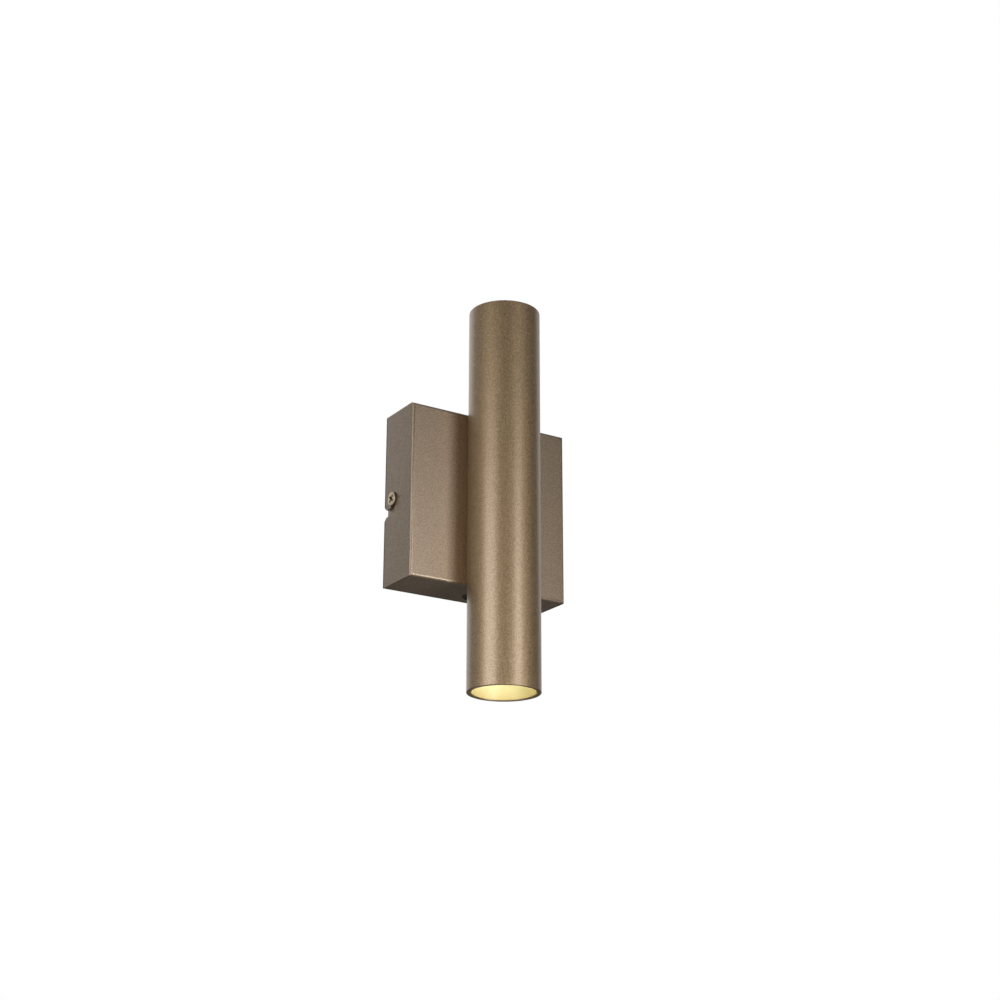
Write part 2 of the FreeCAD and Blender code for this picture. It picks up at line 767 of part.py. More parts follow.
def wall_plate():
    body = new_body("wall_plate")
    base = sketch_on(body, "XZ_Plane", "plate_outline")
    rectangle(base, f"-{PLATE_SIDE}", f"-{PLATE_END}", PLATE_SIDE, PLATE_END)
    pad(body, base, "plate_sheet_metal", "plate_sheet")
    corners = lambda edge: runs_along(edge, 1) and passes(edge, x=PLATE_SIDE, z=PLATE_END)
    fillet(body, "plate_corners", "plate_corner", corners)

    strap = sketch_on(body, "XY_Plane", "strap_section", "-screw_drop - tab_fall")
    inner = f"({TAB_FACE} - plate_sheet)"
    outline(
        strap,
        [
            (f"-{TAB_FACE}", "0"),
            (TAB_FACE, "0"),
            (TAB_FACE, "-tab_reach"),
            (inner, "-tab_reach"),
            (inner, "-plate_sheet"),
            (f"-{inner}", "-plate_sheet"),
            (f"-{inner}", "-tab_reach"),
            (f"-{TAB_FACE}", "-tab_reach"),
        ],
    )
    pad(body, strap, "strap", "tab_fall + tab_rise")
    outer_bend = lambda edge: runs_along(edge, 2) and passes(edge, x=TAB_FACE, y="0")
    fillet(body, "outer_bends", "bend_radius", outer_bend)
    inner_bend = lambda edge: runs_along(edge, 2) and passes(edge, x=inner, y="plate_sheet")
    fillet(body, "inner_bends", "bend_radius - plate_sheet", inner_bend)
    tab_corner = lambda edge: runs_along(edge, 0) and passes(edge, y="tab_reach")
    fillet(body, "tab_corners", "tab_corner", tab_corner)

    openings = sketch_on(body, "XZ_Plane", "plate_openings")
    slot_side = f"({PLATE_SIDE} - wall_slot_inset)"
    for side in ("", "-"):
        level_slot(openings, f"{side}{slot_side}", "0", "wall_slot_length", "wall_slot_width")
    circle(openings, "0", "0", "cable_hole / 2")
    pocket(body, openings, "plate_cuts", "plate_sheet + rest_gap", reverse=True)
    holes = sketch_on(body, "YZ_Plane", "tab_holes")
    circle(holes, "-screw_out", "-screw_drop", LARGE_HOLE)
    pocket(body, holes, "tab_hole_cuts", "box_width", symmetric=True)
    return keep(body)


# Weld nuts: two hexagon nuts on the inner faces of the tabs


def weld_nuts():
    body = new_body("weld_nut")
    hexagon = sketch_on(body, "XY_Plane", "nut_outline")
    corner = "nut_width / sqrt(3)"
    flat = "nut_width / 2"
    outline(
        hexagon,
        [
            (corner, "0"),
            (f"{corner} / 2", flat),
            (f"-{corner} / 2", flat),
            (f"-{corner}", "0"),
            (f"-{corner} / 2", f"-{flat}"),
            (f"{corner} / 2", f"-{flat}"),
        ],
    )
    circle(hexagon, "0", "0", "large_screw / 2 + thread_clearance")
    pad(body, hexagon, "nut_pressed", "nut_height")
    seat = f"({TAB_FACE} - plate_sheet)"
    places = [
        (f"-{seat}", "-screw_out", "-screw_drop", TO_RIGHT),
        (seat, "-screw_out", "-screw_drop", TO_LEFT),
    ]
    return spread("weld_nuts", body, places)


# Cable grommet: rubber bush in the plate's cable hole


def cable_grommet():
    body = new_body("cable_grommet")
    profile = sketch_on(body, "XZ_Plane", "bush_profile")
    outline(
        profile,
        [
            ("cable_bore / 2", "0"),
            ("cable_hole / 2 - sleeve_clearance", "0"),
            ("cable_hole / 2 - sleeve_clearance", "plate_sheet"),
            ("cable_flange / 2", "plate_sheet"),
            ("cable_flange / 2", "plate_sheet + cable_lip / 2"),
            ("cable_flange / 2 - cable_lip / 2", "plate_sheet + cable_lip"),
            ("cable_bore / 2", "plate_sheet + cable_lip"),
        ],
    )
    revolution(body, profile, "bush_turned")
    place(body, "0", "0", "0", FreeCAD.Rotation(FreeCAD.Vector(1, 0, 0), 90))
    return keep(body)


# Cover screws: they stay in the tabs, and the cover's hook slots hang on them


def cover_screws():
    left = large_screw("cover_screw_left", "cover_screw_length")
    place(left, f"-{COVER_SIDE} - head_seat_gap", "-screw_out", "-screw_drop", TO_LEFT)
    right = large_screw("cover_screw_right", "cover_screw_length")
    place(right, f"{COVER_SIDE} + head_seat_gap", "-screw_out", "-screw_drop", TO_RIGHT)
    return [keep(left), keep(right)]


# Tube bracket: hat section spot-welded behind the cover's front, with the holes of all that it carries


def tube_bracket():
    body = new_body("tube_bracket")
    section = sketch_on(body, "XY_Plane", "hat_section")
    half = "bracket_half_web"
    right = [
        ("0", f"-{WEB_REAR}"),
        (half, f"-{WEB_REAR}"),
        (half, f"-({FRONT_INSIDE} - bracket_sheet)"),
        (f"{half} + bracket_foot", f"-({FRONT_INSIDE} - bracket_sheet)"),
        (f"{half} + bracket_foot", f"-{FRONT_INSIDE}"),
        (f"{half} - bracket_sheet", f"-{FRONT_INSIDE}"),
        (f"{half} - bracket_sheet", f"-{WEB_FRONT}"),
        ("0", f"-{WEB_FRONT}"),
    ]
    left = [(f"-({x})", y) for x, y in reversed(right) if x != "0"]
    outline(section, right + left)
    pad(body, section, "hat", "box_height - 2 * bracket_end_gap", symmetric=True)
    outer = lambda edge: runs_along(edge, 2) and passes(edge, x=half, y=WEB_REAR)
    fillet(body, "hat_outer_bends", "bend_radius", outer)
    inner = lambda edge: runs_along(edge, 2) and passes(edge, x=f"{half} - bracket_sheet", y=WEB_FRONT)
    fillet(body, "hat_inner_bends", "bend_radius - bracket_sheet", inner)

    holes = sketch_on(body, "XZ_Plane", "bracket_holes")
    circle(holes, "0", "-tube_drop", "bush_hole / 2")
    for side in ("+", "-"):
        circle(holes, "0", f"-tube_drop {side} tube_screw_pitch / 2", LARGE_HOLE)
    for side in ("", "-"):
        circle(holes, f"{side}ear_offset", EAR_SCREW, "middle_screw / 2 + thread_clearance")
        circle(holes, f"{side}(pole_pitch / 2)", BLOCK_MIDDLE, "middle_screw / 2 + thread_clearance")
    circle(holes, "-pole_pitch", "earth_rise", "large_screw / 2 + thread_clearance")
    pocket(body, holes, "bracket_hole_cuts", FRONT_INSIDE, reverse=True)
    return keep(body)


# Backing bar: threaded bar with one round side, inside the tube, that the tube screws pull against


def backing_bar():
    body = new_body("backing_bar")
    section = sketch_on(body, "XY_Plane", "bar_round", "-bar_height / 2")
    circle(section, "0", "0", FIT_RADIUS)
    pad(body, section, "bar_stock", "bar_height")
    flat = sketch_on(body, "XZ_Plane", "bar_flat", f"-({FIT_RADIUS} - bar_thickness)")
    rectangle(flat, "-tube_diameter", "-bar_height", "tube_diameter", "bar_height")
    pocket(body, flat, "bar_flat_cut", "tube_diameter", reverse=True)
    holes = sketch_on(body, "XZ_Plane", "bar_holes")
    circle(holes, "0", "0", "bush_hole / 2")
    for side in ("", "-"):
        circle(holes, "0", f"{side}(tube_screw_pitch / 2)", "large_screw / 2 + thread_clearance")
    pocket(body, holes, "bar_hole_cuts", "tube_diameter")
    place(body, "0", f"-{TUBE_AXIS}", "-tube_drop")
    return keep(body)


# Tube screws and washers: two screws through the bracket and the tube wall into the bar


def tube_screws():
    master = large_screw("tube_screw", "tube_screw_length")
    seat = f"-({WEB_REAR} - washer_height)"
    heights = [f"-tube_drop {side} tube_screw_pitch / 2" for side in ("+", "-")]
    return spread("tube_screws", master, [("0", seat, height, TO_WALL) for height in heights])


def tube_washers():
    body = new_body("tube_washer")
    ring = sketch_on(body, "XY_Plane", "washer_outline")
    circle(ring, "0", "0", "washer_diameter / 2")
    circle(ring, "0", "0", LARGE_HOLE)
    pad(body, ring, "washer_sheet", "washer_height")
    heights = [f"-tube_drop {side} tube_screw_pitch / 2" for side in ("+", "-")]
    return spread("tube_washers", body, [("0", f"-{WEB_REAR}", height, TO_WALL) for height in heights])


# Lead bush: plastic sleeve that guards the leads through bracket, tube and bar


def lead_bush():
    body = new_body("lead_bush")
    profile = sketch_on(body, "XZ_Plane", "lead_bush_profile")
    sleeve = "bush_hole / 2 - sleeve_clearance"
    reach = f"({TUBE_AXIS} - {FIT_RADIUS} + bar_thickness + rest_gap - {WEB_REAR})"
    outline(
        profile,
        [
            ("bush_bore / 2", f"-{reach}"),
            (sleeve, f"-{reach}"),
            (sleeve, "0"),
            ("bush_flange / 2", "0"),
            ("bush_flange / 2", "bush_lip / 2"),
            ("bush_flange / 2 - bush_lip / 2", "bush_lip"),
            ("bush_bore / 2", "bush_lip"),
        ],
    )
    revolution(body, profile, "lead_bush_turned")
    place(body, "0", f"-{WEB_REAR}", "-tube_drop", TO_WALL)
    return keep(body)


# Screws of the light units: two on each LED board, one through the tube's back into each heat sink


def board_screws(end):
    label = f"board_screw_{end}"
    master = screw(label, "small_screw", "small_head", "small_head_height", "board_screw_length")
    copies = []
    for number, side in enumerate(("", "-"), start=1):
        copy = doc.addObject("App::Link", f"board_screw_{end}_{number}")
        copy.LinkedObject = master
        copy.LinkTransform = False
        at_tube_end(copy, end, x=f"{side}{BOARD_SCREW_AT}", depth=f"({SINK_SEAT} - board_sheet)")
        copies.append(copy)
    group = doc.addObject("Part::Compound", f"board_screws_{end}")
    group.Label = f"board_screws_{end}"
    group.Links = copies
    return keep(group)


def module_screw(end):
    body = middle_screw(f"module_screw_{end}", "module_screw_length")
    sign = {"top": "+", "bottom": "-"}[end]
    height = f"-tube_drop {sign} (tube_length / 2 - {SINK_SCREW})"
    place(body, "0", f"-{TUBE_BACK} + head_seat_gap", height, TO_WALL)
    return keep(body)


# Driver case: moulded tub on the bracket's back, open towards the wall, with two ears below


def driver_case():
    body = new_body("driver_case")
    block = sketch_on(body, "XZ_Plane", "case_outline")
    rectangle(block, "-driver_width / 2", "0", "driver_width / 2", DRIVER_HEIGHT)
    pad(body, block, "case_block", "driver_depth", reverse=True)
    corners = lambda edge: runs_along(edge, 1)
    fillet(body, "case_corners", "driver_corner", corners)
    hollow = sketch_on(body, "XZ_Plane", "case_inside", "-driver_wall")
    rectangle(
        hollow,
        "-driver_width / 2 + driver_wall",
        "driver_wall",
        "driver_width / 2 - driver_wall",
        f"{DRIVER_HEIGHT} - driver_wall",
    )
    pocket(body, hollow, "case_hollow", "driver_depth")
    ears = sketch_on(body, "XZ_Plane", "ear_outline")
    for side in ("", "-"):
        left = f"{side}ear_offset - ear_width / 2"
        right = f"{side}ear_offset + ear_width / 2"
        rectangle(ears, left, "-ear_height", right, "driver_wall")
    pad(body, ears, "ears", "ear_sheet", reverse=True)
    rounds = lambda edge: runs_along(edge, 1) and passes(edge, z="ear_height")
    fillet(body, "ear_rounds", "ear_width * ear_round_share", rounds)
    holes = sketch_on(body, "XZ_Plane", "ear_holes")
    for side in ("", "-"):
        circle(holes, f"{side}ear_offset", "-ear_height / 2", "middle_screw / 2 + large_hole_clearance")
    pocket(body, holes, "ear_hole_cuts", "ear_sheet + rest_gap")
    ports = sketch_on(body, "XY_Plane", "case_ports")
    for middle in (MAINS_MIDDLE, LED_MIDDLE):
        rectangle(
            ports,
            f"{middle} - header_width / 2",
            f"{WEB_REAR} - minus_out - led_lead",
            f"{middle} + header_width / 2",
            f"{WEB_REAR} - plus_out + led_lead",
        )
    pocket(body, ports, "port_cuts", "driver_wall + rest_gap", reverse=True)
    place(body, "0", f"-{WEB_REAR}", "driver_base")
    return keep(body)


# Driver lid: it closes the case towards the wall, with a lip inside the case's walls


def driver_lid():
    body = new_body("driver_lid")
    plate = sketch_on(body, "XZ_Plane", "lid_outline", "-driver_depth")
    rectangle(plate, "-driver_width / 2", "0", "driver_width / 2", DRIVER_HEIGHT)
    pad(body, plate, "lid_plate", "driver_lid_sheet", reverse=True)
    corners = lambda edge: runs_along(edge, 1)
    fillet(body, "lid_corners", "driver_corner", corners)
    lip = sketch_on(body, "XZ_Plane", "lip_outline", "-driver_depth")
    for inset in ("driver_wall + sleeve_clearance", "2 * driver_wall"):
        rectangle(
            lip,
            f"-driver_width / 2 + {inset}",
            inset,
            f"driver_width / 2 - ({inset})",
            f"{DRIVER_HEIGHT} - ({inset})",
        )
    pad(body, lip, "lid_lip", "driver_lip")
    place(body, "0", f"-{WEB_REAR}", "driver_base")
    return keep(body)


# Driver board and what is soldered on it


def driver_board():
    body = new_body("driver_board")
    face = sketch_on(body, "XZ_Plane", "driver_board_outline", "-driver_wall - driver_board_stand")
    edge = "driver_wall + rest_gap"
    rectangle(
        face,
        f"-driver_width / 2 + {edge}",
        edge,
        f"driver_width / 2 - ({edge})",
        f"{DRIVER_HEIGHT} - ({edge})",
    )
    pad(body, face, "driver_board_sheet", "driver_board_sheet", reverse=True)
    place(body, "0", f"-{WEB_REAR}", "driver_base")
    return keep(body)


def wire_header(label, middle, wells):
    body = new_body(label)
    block = sketch_on(body, "XZ_Plane", f"{label}_outline", f"-{BOARD_FACE}")
    low = "driver_wall + 2 * rest_gap"
    left = f"{middle} - header_width / 2"
    right = f"{middle} + header_width / 2"
    rectangle(block, left, low, right, f"{low} + header_height")
    pad(body, block, f"{label}_block", "header_depth", reverse=True)
    mouths = sketch_on(body, "XY_Plane", f"{label}_wells", low)
    for x, out in wells:
        circle(mouths, x, f"{WEB_REAR} - {out}", "header_well / 2")
    pocket(body, mouths, f"{label}_well_cuts", "well_depth", reverse=True)
    place(body, "0", f"-{WEB_REAR}", "driver_base")
    return keep(body)


def driver_transformer():
    body = new_body("driver_transformer")
    block = sketch_on(body, "XZ_Plane", "transformer_outline", f"-{BOARD_FACE}")
    middle = "-transformer_side"
    high = f"({DRIVER_HEIGHT} - transformer_margin)"
    half = "transformer_width / 2"
    rectangle(block, f"{middle} - {half}", "transformer_margin", f"{middle} + {half}", high)
    pad(body, block, "transformer_block", "transformer_depth", reverse=True)
    core = sketch_on(body, "XZ_Plane", "core_outline", f"-{BOARD_FACE}")
    third = f"({high} - transformer_margin) / 3"
    rectangle(
        core,
        f"{middle} - {half} - rest_gap",
        f"transformer_margin + {third}",
        f"{middle} + {half} + rest_gap",
        f"{high} - {third}",
    )
    pad(body, core, "ferrite_core", "transformer_depth + rest_gap", reverse=True)
    place(body, "0", f"-{WEB_REAR}", "driver_base")
    return keep(body)


def driver_capacitor():
    body = new_body("driver_capacitor")
    can = sketch_on(body, "YZ_Plane", "can_outline", "-capacitor_length / 2")
    circle(can, "0", "0", "capacitor_diameter / 2")
    pad(body, can, "can", "capacitor_length")
    place(
        body,
        "capacitor_side",
        f"-{WEB_REAR} + {BOARD_FACE} + capacitor_diameter / 2 + rest_gap",
        f"driver_base + {DRIVER_HEIGHT} / 2",
    )
    return keep(body)


def driver_screws():
    master = middle_screw("driver_screw", "driver_screw_length")
    seat = f"-({WEB_REAR} - ear_sheet)"
    places = [(f"{side}ear_offset", seat, EAR_SCREW, TO_WALL) for side in ("", "-")]
    return spread("driver_screws", master, places)


# Terminal block: three poles with a brass sleeve and two clamp screws each


def terminal_block():
    body = new_body("terminal_block")
    face = sketch_on(body, "XZ_Plane", "block_outline")
    rectangle(face, "-block_width / 2", "-block_height / 2", "block_width / 2", "block_height / 2")
    pad(body, face, "block", "block_depth", reverse=True)
    edges = lambda edge: runs_along(edge, 0) and passes(edge, y="block_depth")
    fillet(body, "block_rounds", "block_chamfer", edges)
    bores = sketch_on(body, "XY_Plane", "block_bores")
    for x in POLES:
        circle(bores, x, "block_depth / 2", "sleeve_diameter / 2 + sleeve_clearance")
    pocket(body, bores, "bore_cuts", "block_height + rest_gap", symmetric=True)
    wells = sketch_on(body, "XZ_Plane", "block_wells", "-block_depth")
    for x in POLES:
        for side in ("", "-"):
            circle(wells, x, f"{side}(clamp_pitch / 2)", "pole_well / 2")
    pocket(body, wells, "well_cuts", "block_depth / 2", reverse=True)
    holes = sketch_on(body, "XZ_Plane", "block_screw_holes")
    for side in ("", "-"):
        circle(holes, f"{side}(pole_pitch / 2)", "0", "middle_screw / 2 + large_hole_clearance")
    pocket(body, holes, "block_hole_cuts", "block_depth + rest_gap")
    place(body, "0", f"-{WEB_REAR}", BLOCK_MIDDLE)
    return keep(body)


def terminal_sleeves():
    body = new_body("terminal_sleeve")
    ring = sketch_on(body, "XY_Plane", "sleeve_outline", f"-{SLEEVE_LENGTH} / 2")
    circle(ring, "0", "0", "sleeve_diameter / 2")
    circle(ring, "0", "0", "sleeve_bore / 2")
    pad(body, ring, "sleeve_drawn", SLEEVE_LENGTH)
    holes = sketch_on(body, "XZ_Plane", "sleeve_holes")
    for side in ("", "-"):
        circle(holes, "0", f"{side}(clamp_pitch / 2)", "clamp_screw / 2 + thread_clearance")
    pocket(body, holes, "sleeve_hole_cuts", "sleeve_diameter")
    return spread("terminal_sleeves", body, [(x, f"-{POLE_OUT}", BLOCK_MIDDLE, None) for x in POLES])


def terminal_screws():
    body = new_body("terminal_screw")
    profile = sketch_on(body, "XY_Plane", "clamp_outline")
    circle(profile, "0", "0", "clamp_screw / 2")
    pad(body, profile, "clamp_rod", "clamp_length")
    slit = sketch_on(body, "XY_Plane", "slit_outline", "clamp_length")
    half = "clamp_screw * slit_width_share"
    rectangle(slit, "-clamp_screw", f"-{half}", "clamp_screw", half)
    pocket(body, slit, "slit_cut", "clamp_screw * slit_depth_share")
    places = []
    for x in POLES:
        for side in ("+", "-"):
            height = f"{BLOCK_MIDDLE} {side} clamp_pitch / 2"
            places.append((x, f"-{POLE_OUT} + mains_lead / 2 + head_seat_gap", height, TO_WALL))
    return spread("terminal_screws", body, places)


def block_screws():
    master = middle_screw("block_screw", "block_screw_length")
    seat = f"-({WEB_REAR} - block_depth)"
    places = [(f"{side}(pole_pitch / 2)", seat, BLOCK_MIDDLE, TO_WALL) for side in ("", "-")]
    return spread("block_screws", master, places)


# Earth point: ring terminal under a screw in the bracket


def earth_screw():
    body = large_screw("earth_screw", "earth_screw_length")
    place(body, "-pole_pitch", f"-({WEB_REAR} - ring_sheet)", "earth_rise", TO_WALL)
    return keep(body)


def earth_ring():
    body = new_body("earth_ring")
    ring = sketch_on(body, "XZ_Plane", "ring_outline")
    circle(ring, "0", "0", "ring_diameter / 2")
    pad(body, ring, "ring_sheet_metal", "ring_sheet", reverse=True)
    tongue = sketch_on(body, "XZ_Plane", "tongue_outline")
    half = "barrel_diameter * tongue_width_share"
    start = "-ring_diameter * tongue_start_share"
    rectangle(tongue, f"-{half}", "-ring_diameter / 2 - barrel_length", half, start)
    pad(body, tongue, "tongue", "ring_sheet", reverse=True)
    barrel = sketch_on(body, "XY_Plane", "barrel_outline", "-ring_diameter / 2 - barrel_length")
    circle(barrel, "0", "barrel_diameter / 2", "barrel_diameter / 2")
    pad(body, barrel, "barrel", "barrel_length - rest_gap")
    bore = sketch_on(body, "XY_Plane", "barrel_bore", "-ring_diameter / 2 - barrel_length")
    circle(bore, "0", "barrel_diameter / 2", "mains_lead / 2 + thread_clearance")
    pocket(body, bore, "barrel_bore_cut", "barrel_length", reverse=True)
    hole = sketch_on(body, "XZ_Plane", "ring_hole")
    circle(hole, "0", "0", LARGE_HOLE)
    pocket(body, hole, "ring_hole_cut", "barrel_diameter + rest_gap")
    place(body, "-pole_pitch", f"-{WEB_REAR}", "earth_rise")
    return keep(body)


# Leads held inside: insulated wires along straight runs with tangent bends


def lead(label, corners, diameter, bend):
    """A round lead along a line of corner points, each bent to the same radius."""
    points = [vector(*corner) for corner in corners]
    radius = value(bend)
    edges = []
    start = points[0]
    for before, corner, after in zip(points, points[1:], points[2:]):
        back = (before - corner).normalize()
        ahead = (after - corner).normalize()
        reach = radius / math.tan(back.getAngle(ahead) / 2)
        entry = corner + back * reach
        leave = corner + ahead * reach
        inward = (back + ahead).normalize()
        middle = corner + inward * (math.hypot(radius, reach) - radius)
        edges.append(Part.LineSegment(start, entry).toShape())
        edges.append(Part.Arc(entry, middle, leave).toShape())
        start = leave
    edges.append(Part.LineSegment(start, points[-1]).toShape())
    spine = Part.Wire(edges)
    first = points[1] - points[0]
    profile = Part.Wire([Part.makeCircle(value(diameter) / 2, points[0], first)])
    wire = doc.addObject("Part::Feature", label)
    wire.Label = label
    wire.Shape = spine.makePipeShell([profile], True, False)
    return keep(wire)


def mains_leads():
    pole_end = "block_top - sleeve_inset - lead_entry"
    case_end = "driver_base + driver_wall + 2 * rest_gap + lead_entry"
    out = f"-{POLE_OUT}"
    for label, pole, side, turn in (
        ("live_lead", "pole_pitch", "live_side", "live_turn"),
        ("neutral_lead", "0", "neutral_side", "neutral_turn"),
    ):
        corners = [
            (pole, out, pole_end),
            (pole, out, f"block_top + {turn}"),
            (side, out, f"block_top + {turn}"),
            (side, out, case_end),
        ]
        lead(label, corners, "mains_lead", "mains_bend")
    barrel_end = "earth_rise - ring_diameter / 2 - barrel_length + lead_entry"
    corners = [
        ("-pole_pitch", f"-{BARREL_OUT}", barrel_end),
        ("-pole_pitch", f"-{BARREL_OUT}", "earth_rise - earth_drop"),
        ("-pole_pitch", out, "block_top + earth_turn"),
        ("-pole_pitch", out, pole_end),
    ]
    lead("earth_lead", corners, "mains_lead", "mains_bend")


def led_leads(end):
    sign = {"top": "+", "bottom": "-"}[end]
    drop = {"top": "-upper_pair_side", "bottom": "-lower_pair_side"}[end]
    height = f"-tube_drop {sign} lead_spread"
    port = f"-({TUBE_AXIS} - {PORT_AT})"
    pad_height = f"-tube_drop {sign} (tube_length / 2 - {SINK_SEAT} + board_sheet + led_lead / 2 + pad_gap)"
    for name, out, side in (("plus", "plus_out", "lead_spread"), ("minus", "minus_out", "-lead_spread")):
        corners = [
            (drop, f"-{out}", "driver_base + driver_wall + 2 * rest_gap + lead_entry"),
            (drop, f"-{out}", height),
            (side, f"-{out}", height),
            (side, port, height),
            (side, port, pad_height),
            (side, f"-({TUBE_AXIS} - {PORT_AT} + pad_step)", pad_height),
        ]
        lead(f"led_lead_{name}_{end}", corners, "led_lead", "led_bend")


# All pieces, in the order in which the lamp is put together

wall_plate()
weld_nuts()
cable_grommet()
cover_screws()
box_cover()
entry_grommet()
tube_bracket()
lamp_tube()
backing_bar()
tube_screws()
tube_washers()
lead_bush()
for end in ("top", "bottom"):
    heat_sink(end)
    led_board(end)
    led_chip(end)
    board_screws(end)
    lens(end)
    reflector(end)
    module_screw(end)
driver_case()
driver_lid()
driver_board()
driver_transformer()
driver_capacitor()
wire_header("mains_header", MAINS_MIDDLE, [("live_side", POLE_OUT), ("neutral_side", POLE_OUT)])
led_wells = []
for side in ("-upper_pair_side", "-lower_pair_side"):
    led_wells += [(side, "plus_out"), (side, "minus_out")]
wire_header("led_header", LED_MIDDLE, led_wells)
driver_screws()
terminal_block()
terminal_sleeves()
terminal_screws()
block_screws()
earth_screw()
earth_ring()
mains_leads()
for end in ("top", "bottom"):
    led_leads(end)
doc.recompute()

# A piece that is invalid, or in error, stops the build here
for item in doc.Objects:
    if "Invalid" in item.State or "Error" in item.State:
        raise RuntimeError(f"{item.Label} is {item.State}")
for piece in kept:
    if piece.Shape.isNull() or not piece.Shape.isValid() or not piece.Shape.Solids:
        raise RuntimeError(f"{piece.Label} has no sound solid")

os.makedirs("parts", exist_ok=True)
for piece in kept:
    piece.Shape.exportStep(f"parts/{piece.Label}.step")
print(f"{len(kept)} pieces written")
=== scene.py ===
import math
import bmesh
import bpy
from mathutils import Matrix, Vector


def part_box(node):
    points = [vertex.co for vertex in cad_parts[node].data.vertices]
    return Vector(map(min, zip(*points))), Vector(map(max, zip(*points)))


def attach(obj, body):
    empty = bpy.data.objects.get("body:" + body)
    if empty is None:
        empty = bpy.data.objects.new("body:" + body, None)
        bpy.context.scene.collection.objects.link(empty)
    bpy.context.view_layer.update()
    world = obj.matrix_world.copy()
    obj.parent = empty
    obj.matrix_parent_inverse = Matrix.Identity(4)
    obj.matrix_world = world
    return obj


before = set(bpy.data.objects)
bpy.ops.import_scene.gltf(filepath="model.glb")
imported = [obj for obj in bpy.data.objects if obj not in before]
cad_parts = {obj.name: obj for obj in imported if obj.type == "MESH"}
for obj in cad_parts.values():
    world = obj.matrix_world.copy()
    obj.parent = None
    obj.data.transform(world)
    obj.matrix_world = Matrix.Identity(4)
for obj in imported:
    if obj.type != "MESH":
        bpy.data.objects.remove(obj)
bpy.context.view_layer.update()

MM = 0.001


# Wall plate: 1.5 mm steel sheet, punched and with two tabs bent forward, powder-coated with the cover.
# The coat is bronze mica in a clear resin, cured to a satin skin with a slight orange peel: a brown
# metal shine from the mica, broken up by its fine grain, and a whiter gloss from the resin over it.

bronze_light = "b19c83"
bronze_dark = "8c7a68"
mica_shine = 0.95
mica_raise = 0.016 * MM
resin_peel = 1.8 * MM
# Real mica flakes are far finer. The grain is drawn 0.7 mm across, as coarse as it needs to be to show.
mica_grain = 0.7 * MM
# Nearly all of a noise lies between the first two values. Each finer layer of it has the third as its
# share of the last one's strength.
noise_low = 0.3
noise_high = 0.7
finer_share = 0.6
# Facets' corners closer than this are one point, and faces that meet at more degrees keep their edge.
same_point = 0.001 * MM
sharp_from = 28


def linear(hex_colour):
    """An sRGB hex colour as the linear values that a shader takes."""
    shares = [int(hex_colour[i:i + 2], 16) / 255 for i in (0, 2, 4)]
    return (*[c / 12.92 if c <= 0.04045 else ((c + 0.055) / 1.055) ** 2.4 for c in shares], 1.0)


def add_node(tree, kind, settings=None, links=None):
    """A shader node with its attributes and sockets set and linked, by their names or numbers."""
    node = tree.nodes.new(kind)
    for name, setting in (settings or {}).items():
        if hasattr(node, str(name)):
            setattr(node, name, setting)
        else:
            node.inputs[name].default_value = setting
    for name, source in (links or {}).items():
        tree.links.new(source, node.inputs[name])
    return node


def main_shader(material):
    """The shader that a finish starts with."""
    return material.node_tree.nodes["Principled BSDF"]


def own_place(material):
    """A piece's own coordinates, in metres, which stay on it when its body moves."""
    return material.node_tree.nodes["Texture Coordinate"].outputs["Object"]


def start_finish(name, colour, roughness, metallic=0.0, sockets=None):
    """A material with its plain values on its main shader, ready for the patterns over them."""
    material = bpy.data.materials.new(name)
    material.use_nodes = True
    add_node(material.node_tree, "ShaderNodeTexCoord")
    plain = {"Base Color": linear(colour), "Roughness": roughness, "Metallic": metallic}
    for socket, setting in (plain | (sockets or {})).items():
        main_shader(material).inputs[socket].default_value = setting
    return material


def set_by(material, socket, pattern):
    """Let a pattern set one socket of the main shader."""
    material.node_tree.links.new(pattern, main_shader(material).inputs[socket])


def grain(material, size, detail=2.0, stretch=(1, 1, 1)):
    """Noise whose cells measure size, in metres, and are longer along an axis whose stretch is below 1."""
    tree = material.node_tree
    scaled = add_node(tree, "ShaderNodeMapping", {"Scale": stretch}, {"Vector": own_place(material)})
    settings = {"Scale": 1 / size, "Detail": detail, "Roughness": finer_share}
    noise = add_node(tree, "ShaderNodeTexNoise", settings, {"Vector": scaled.outputs["Vector"]})
    return noise.outputs["Fac"]


def between(material, pattern, low, high, start=noise_low, end=noise_high):
    """A pattern's values from start to end, turned to values from low to high."""
    settings = {"From Min": start, "From Max": end, "To Min": low, "To Max": high}
    turned = add_node(material.node_tree, "ShaderNodeMapRange", settings, {"Value": pattern})
    return turned.outputs["Result"]


def tint(material, pattern, stops, interpolation="LINEAR", socket="Base Color"):
    """Colour the surface, or its glow, along a pattern, from pairs of position and hex colour."""
    ramp = add_node(material.node_tree, "ShaderNodeValToRGB", links={"Fac": pattern})
    ramp.color_ramp.interpolation = interpolation
    elements = ramp.color_ramp.elements
    while len(elements) < len(stops):
        elements.new(1.0)
    for element, (position, colour) in zip(elements, stops):
        element.position = position
        element.color = linear(colour)
    set_by(material, socket, ramp.outputs["Color"])


def roughen(material, pattern, smoothest, roughest):
    """Let a pattern set how rough the surface is."""
    set_by(material, "Roughness", between(material, pattern, smoothest, roughest))


def relief(material, pattern, depth):
    """Raise the surface by depth where the pattern is highest."""
    settings = {"Strength": 1.0, "Distance": depth}
    bump = add_node(material.node_tree, "ShaderNodeBump", settings, {"Height": pattern})
    set_by(material, "Normal", bump.outputs["Normal"])


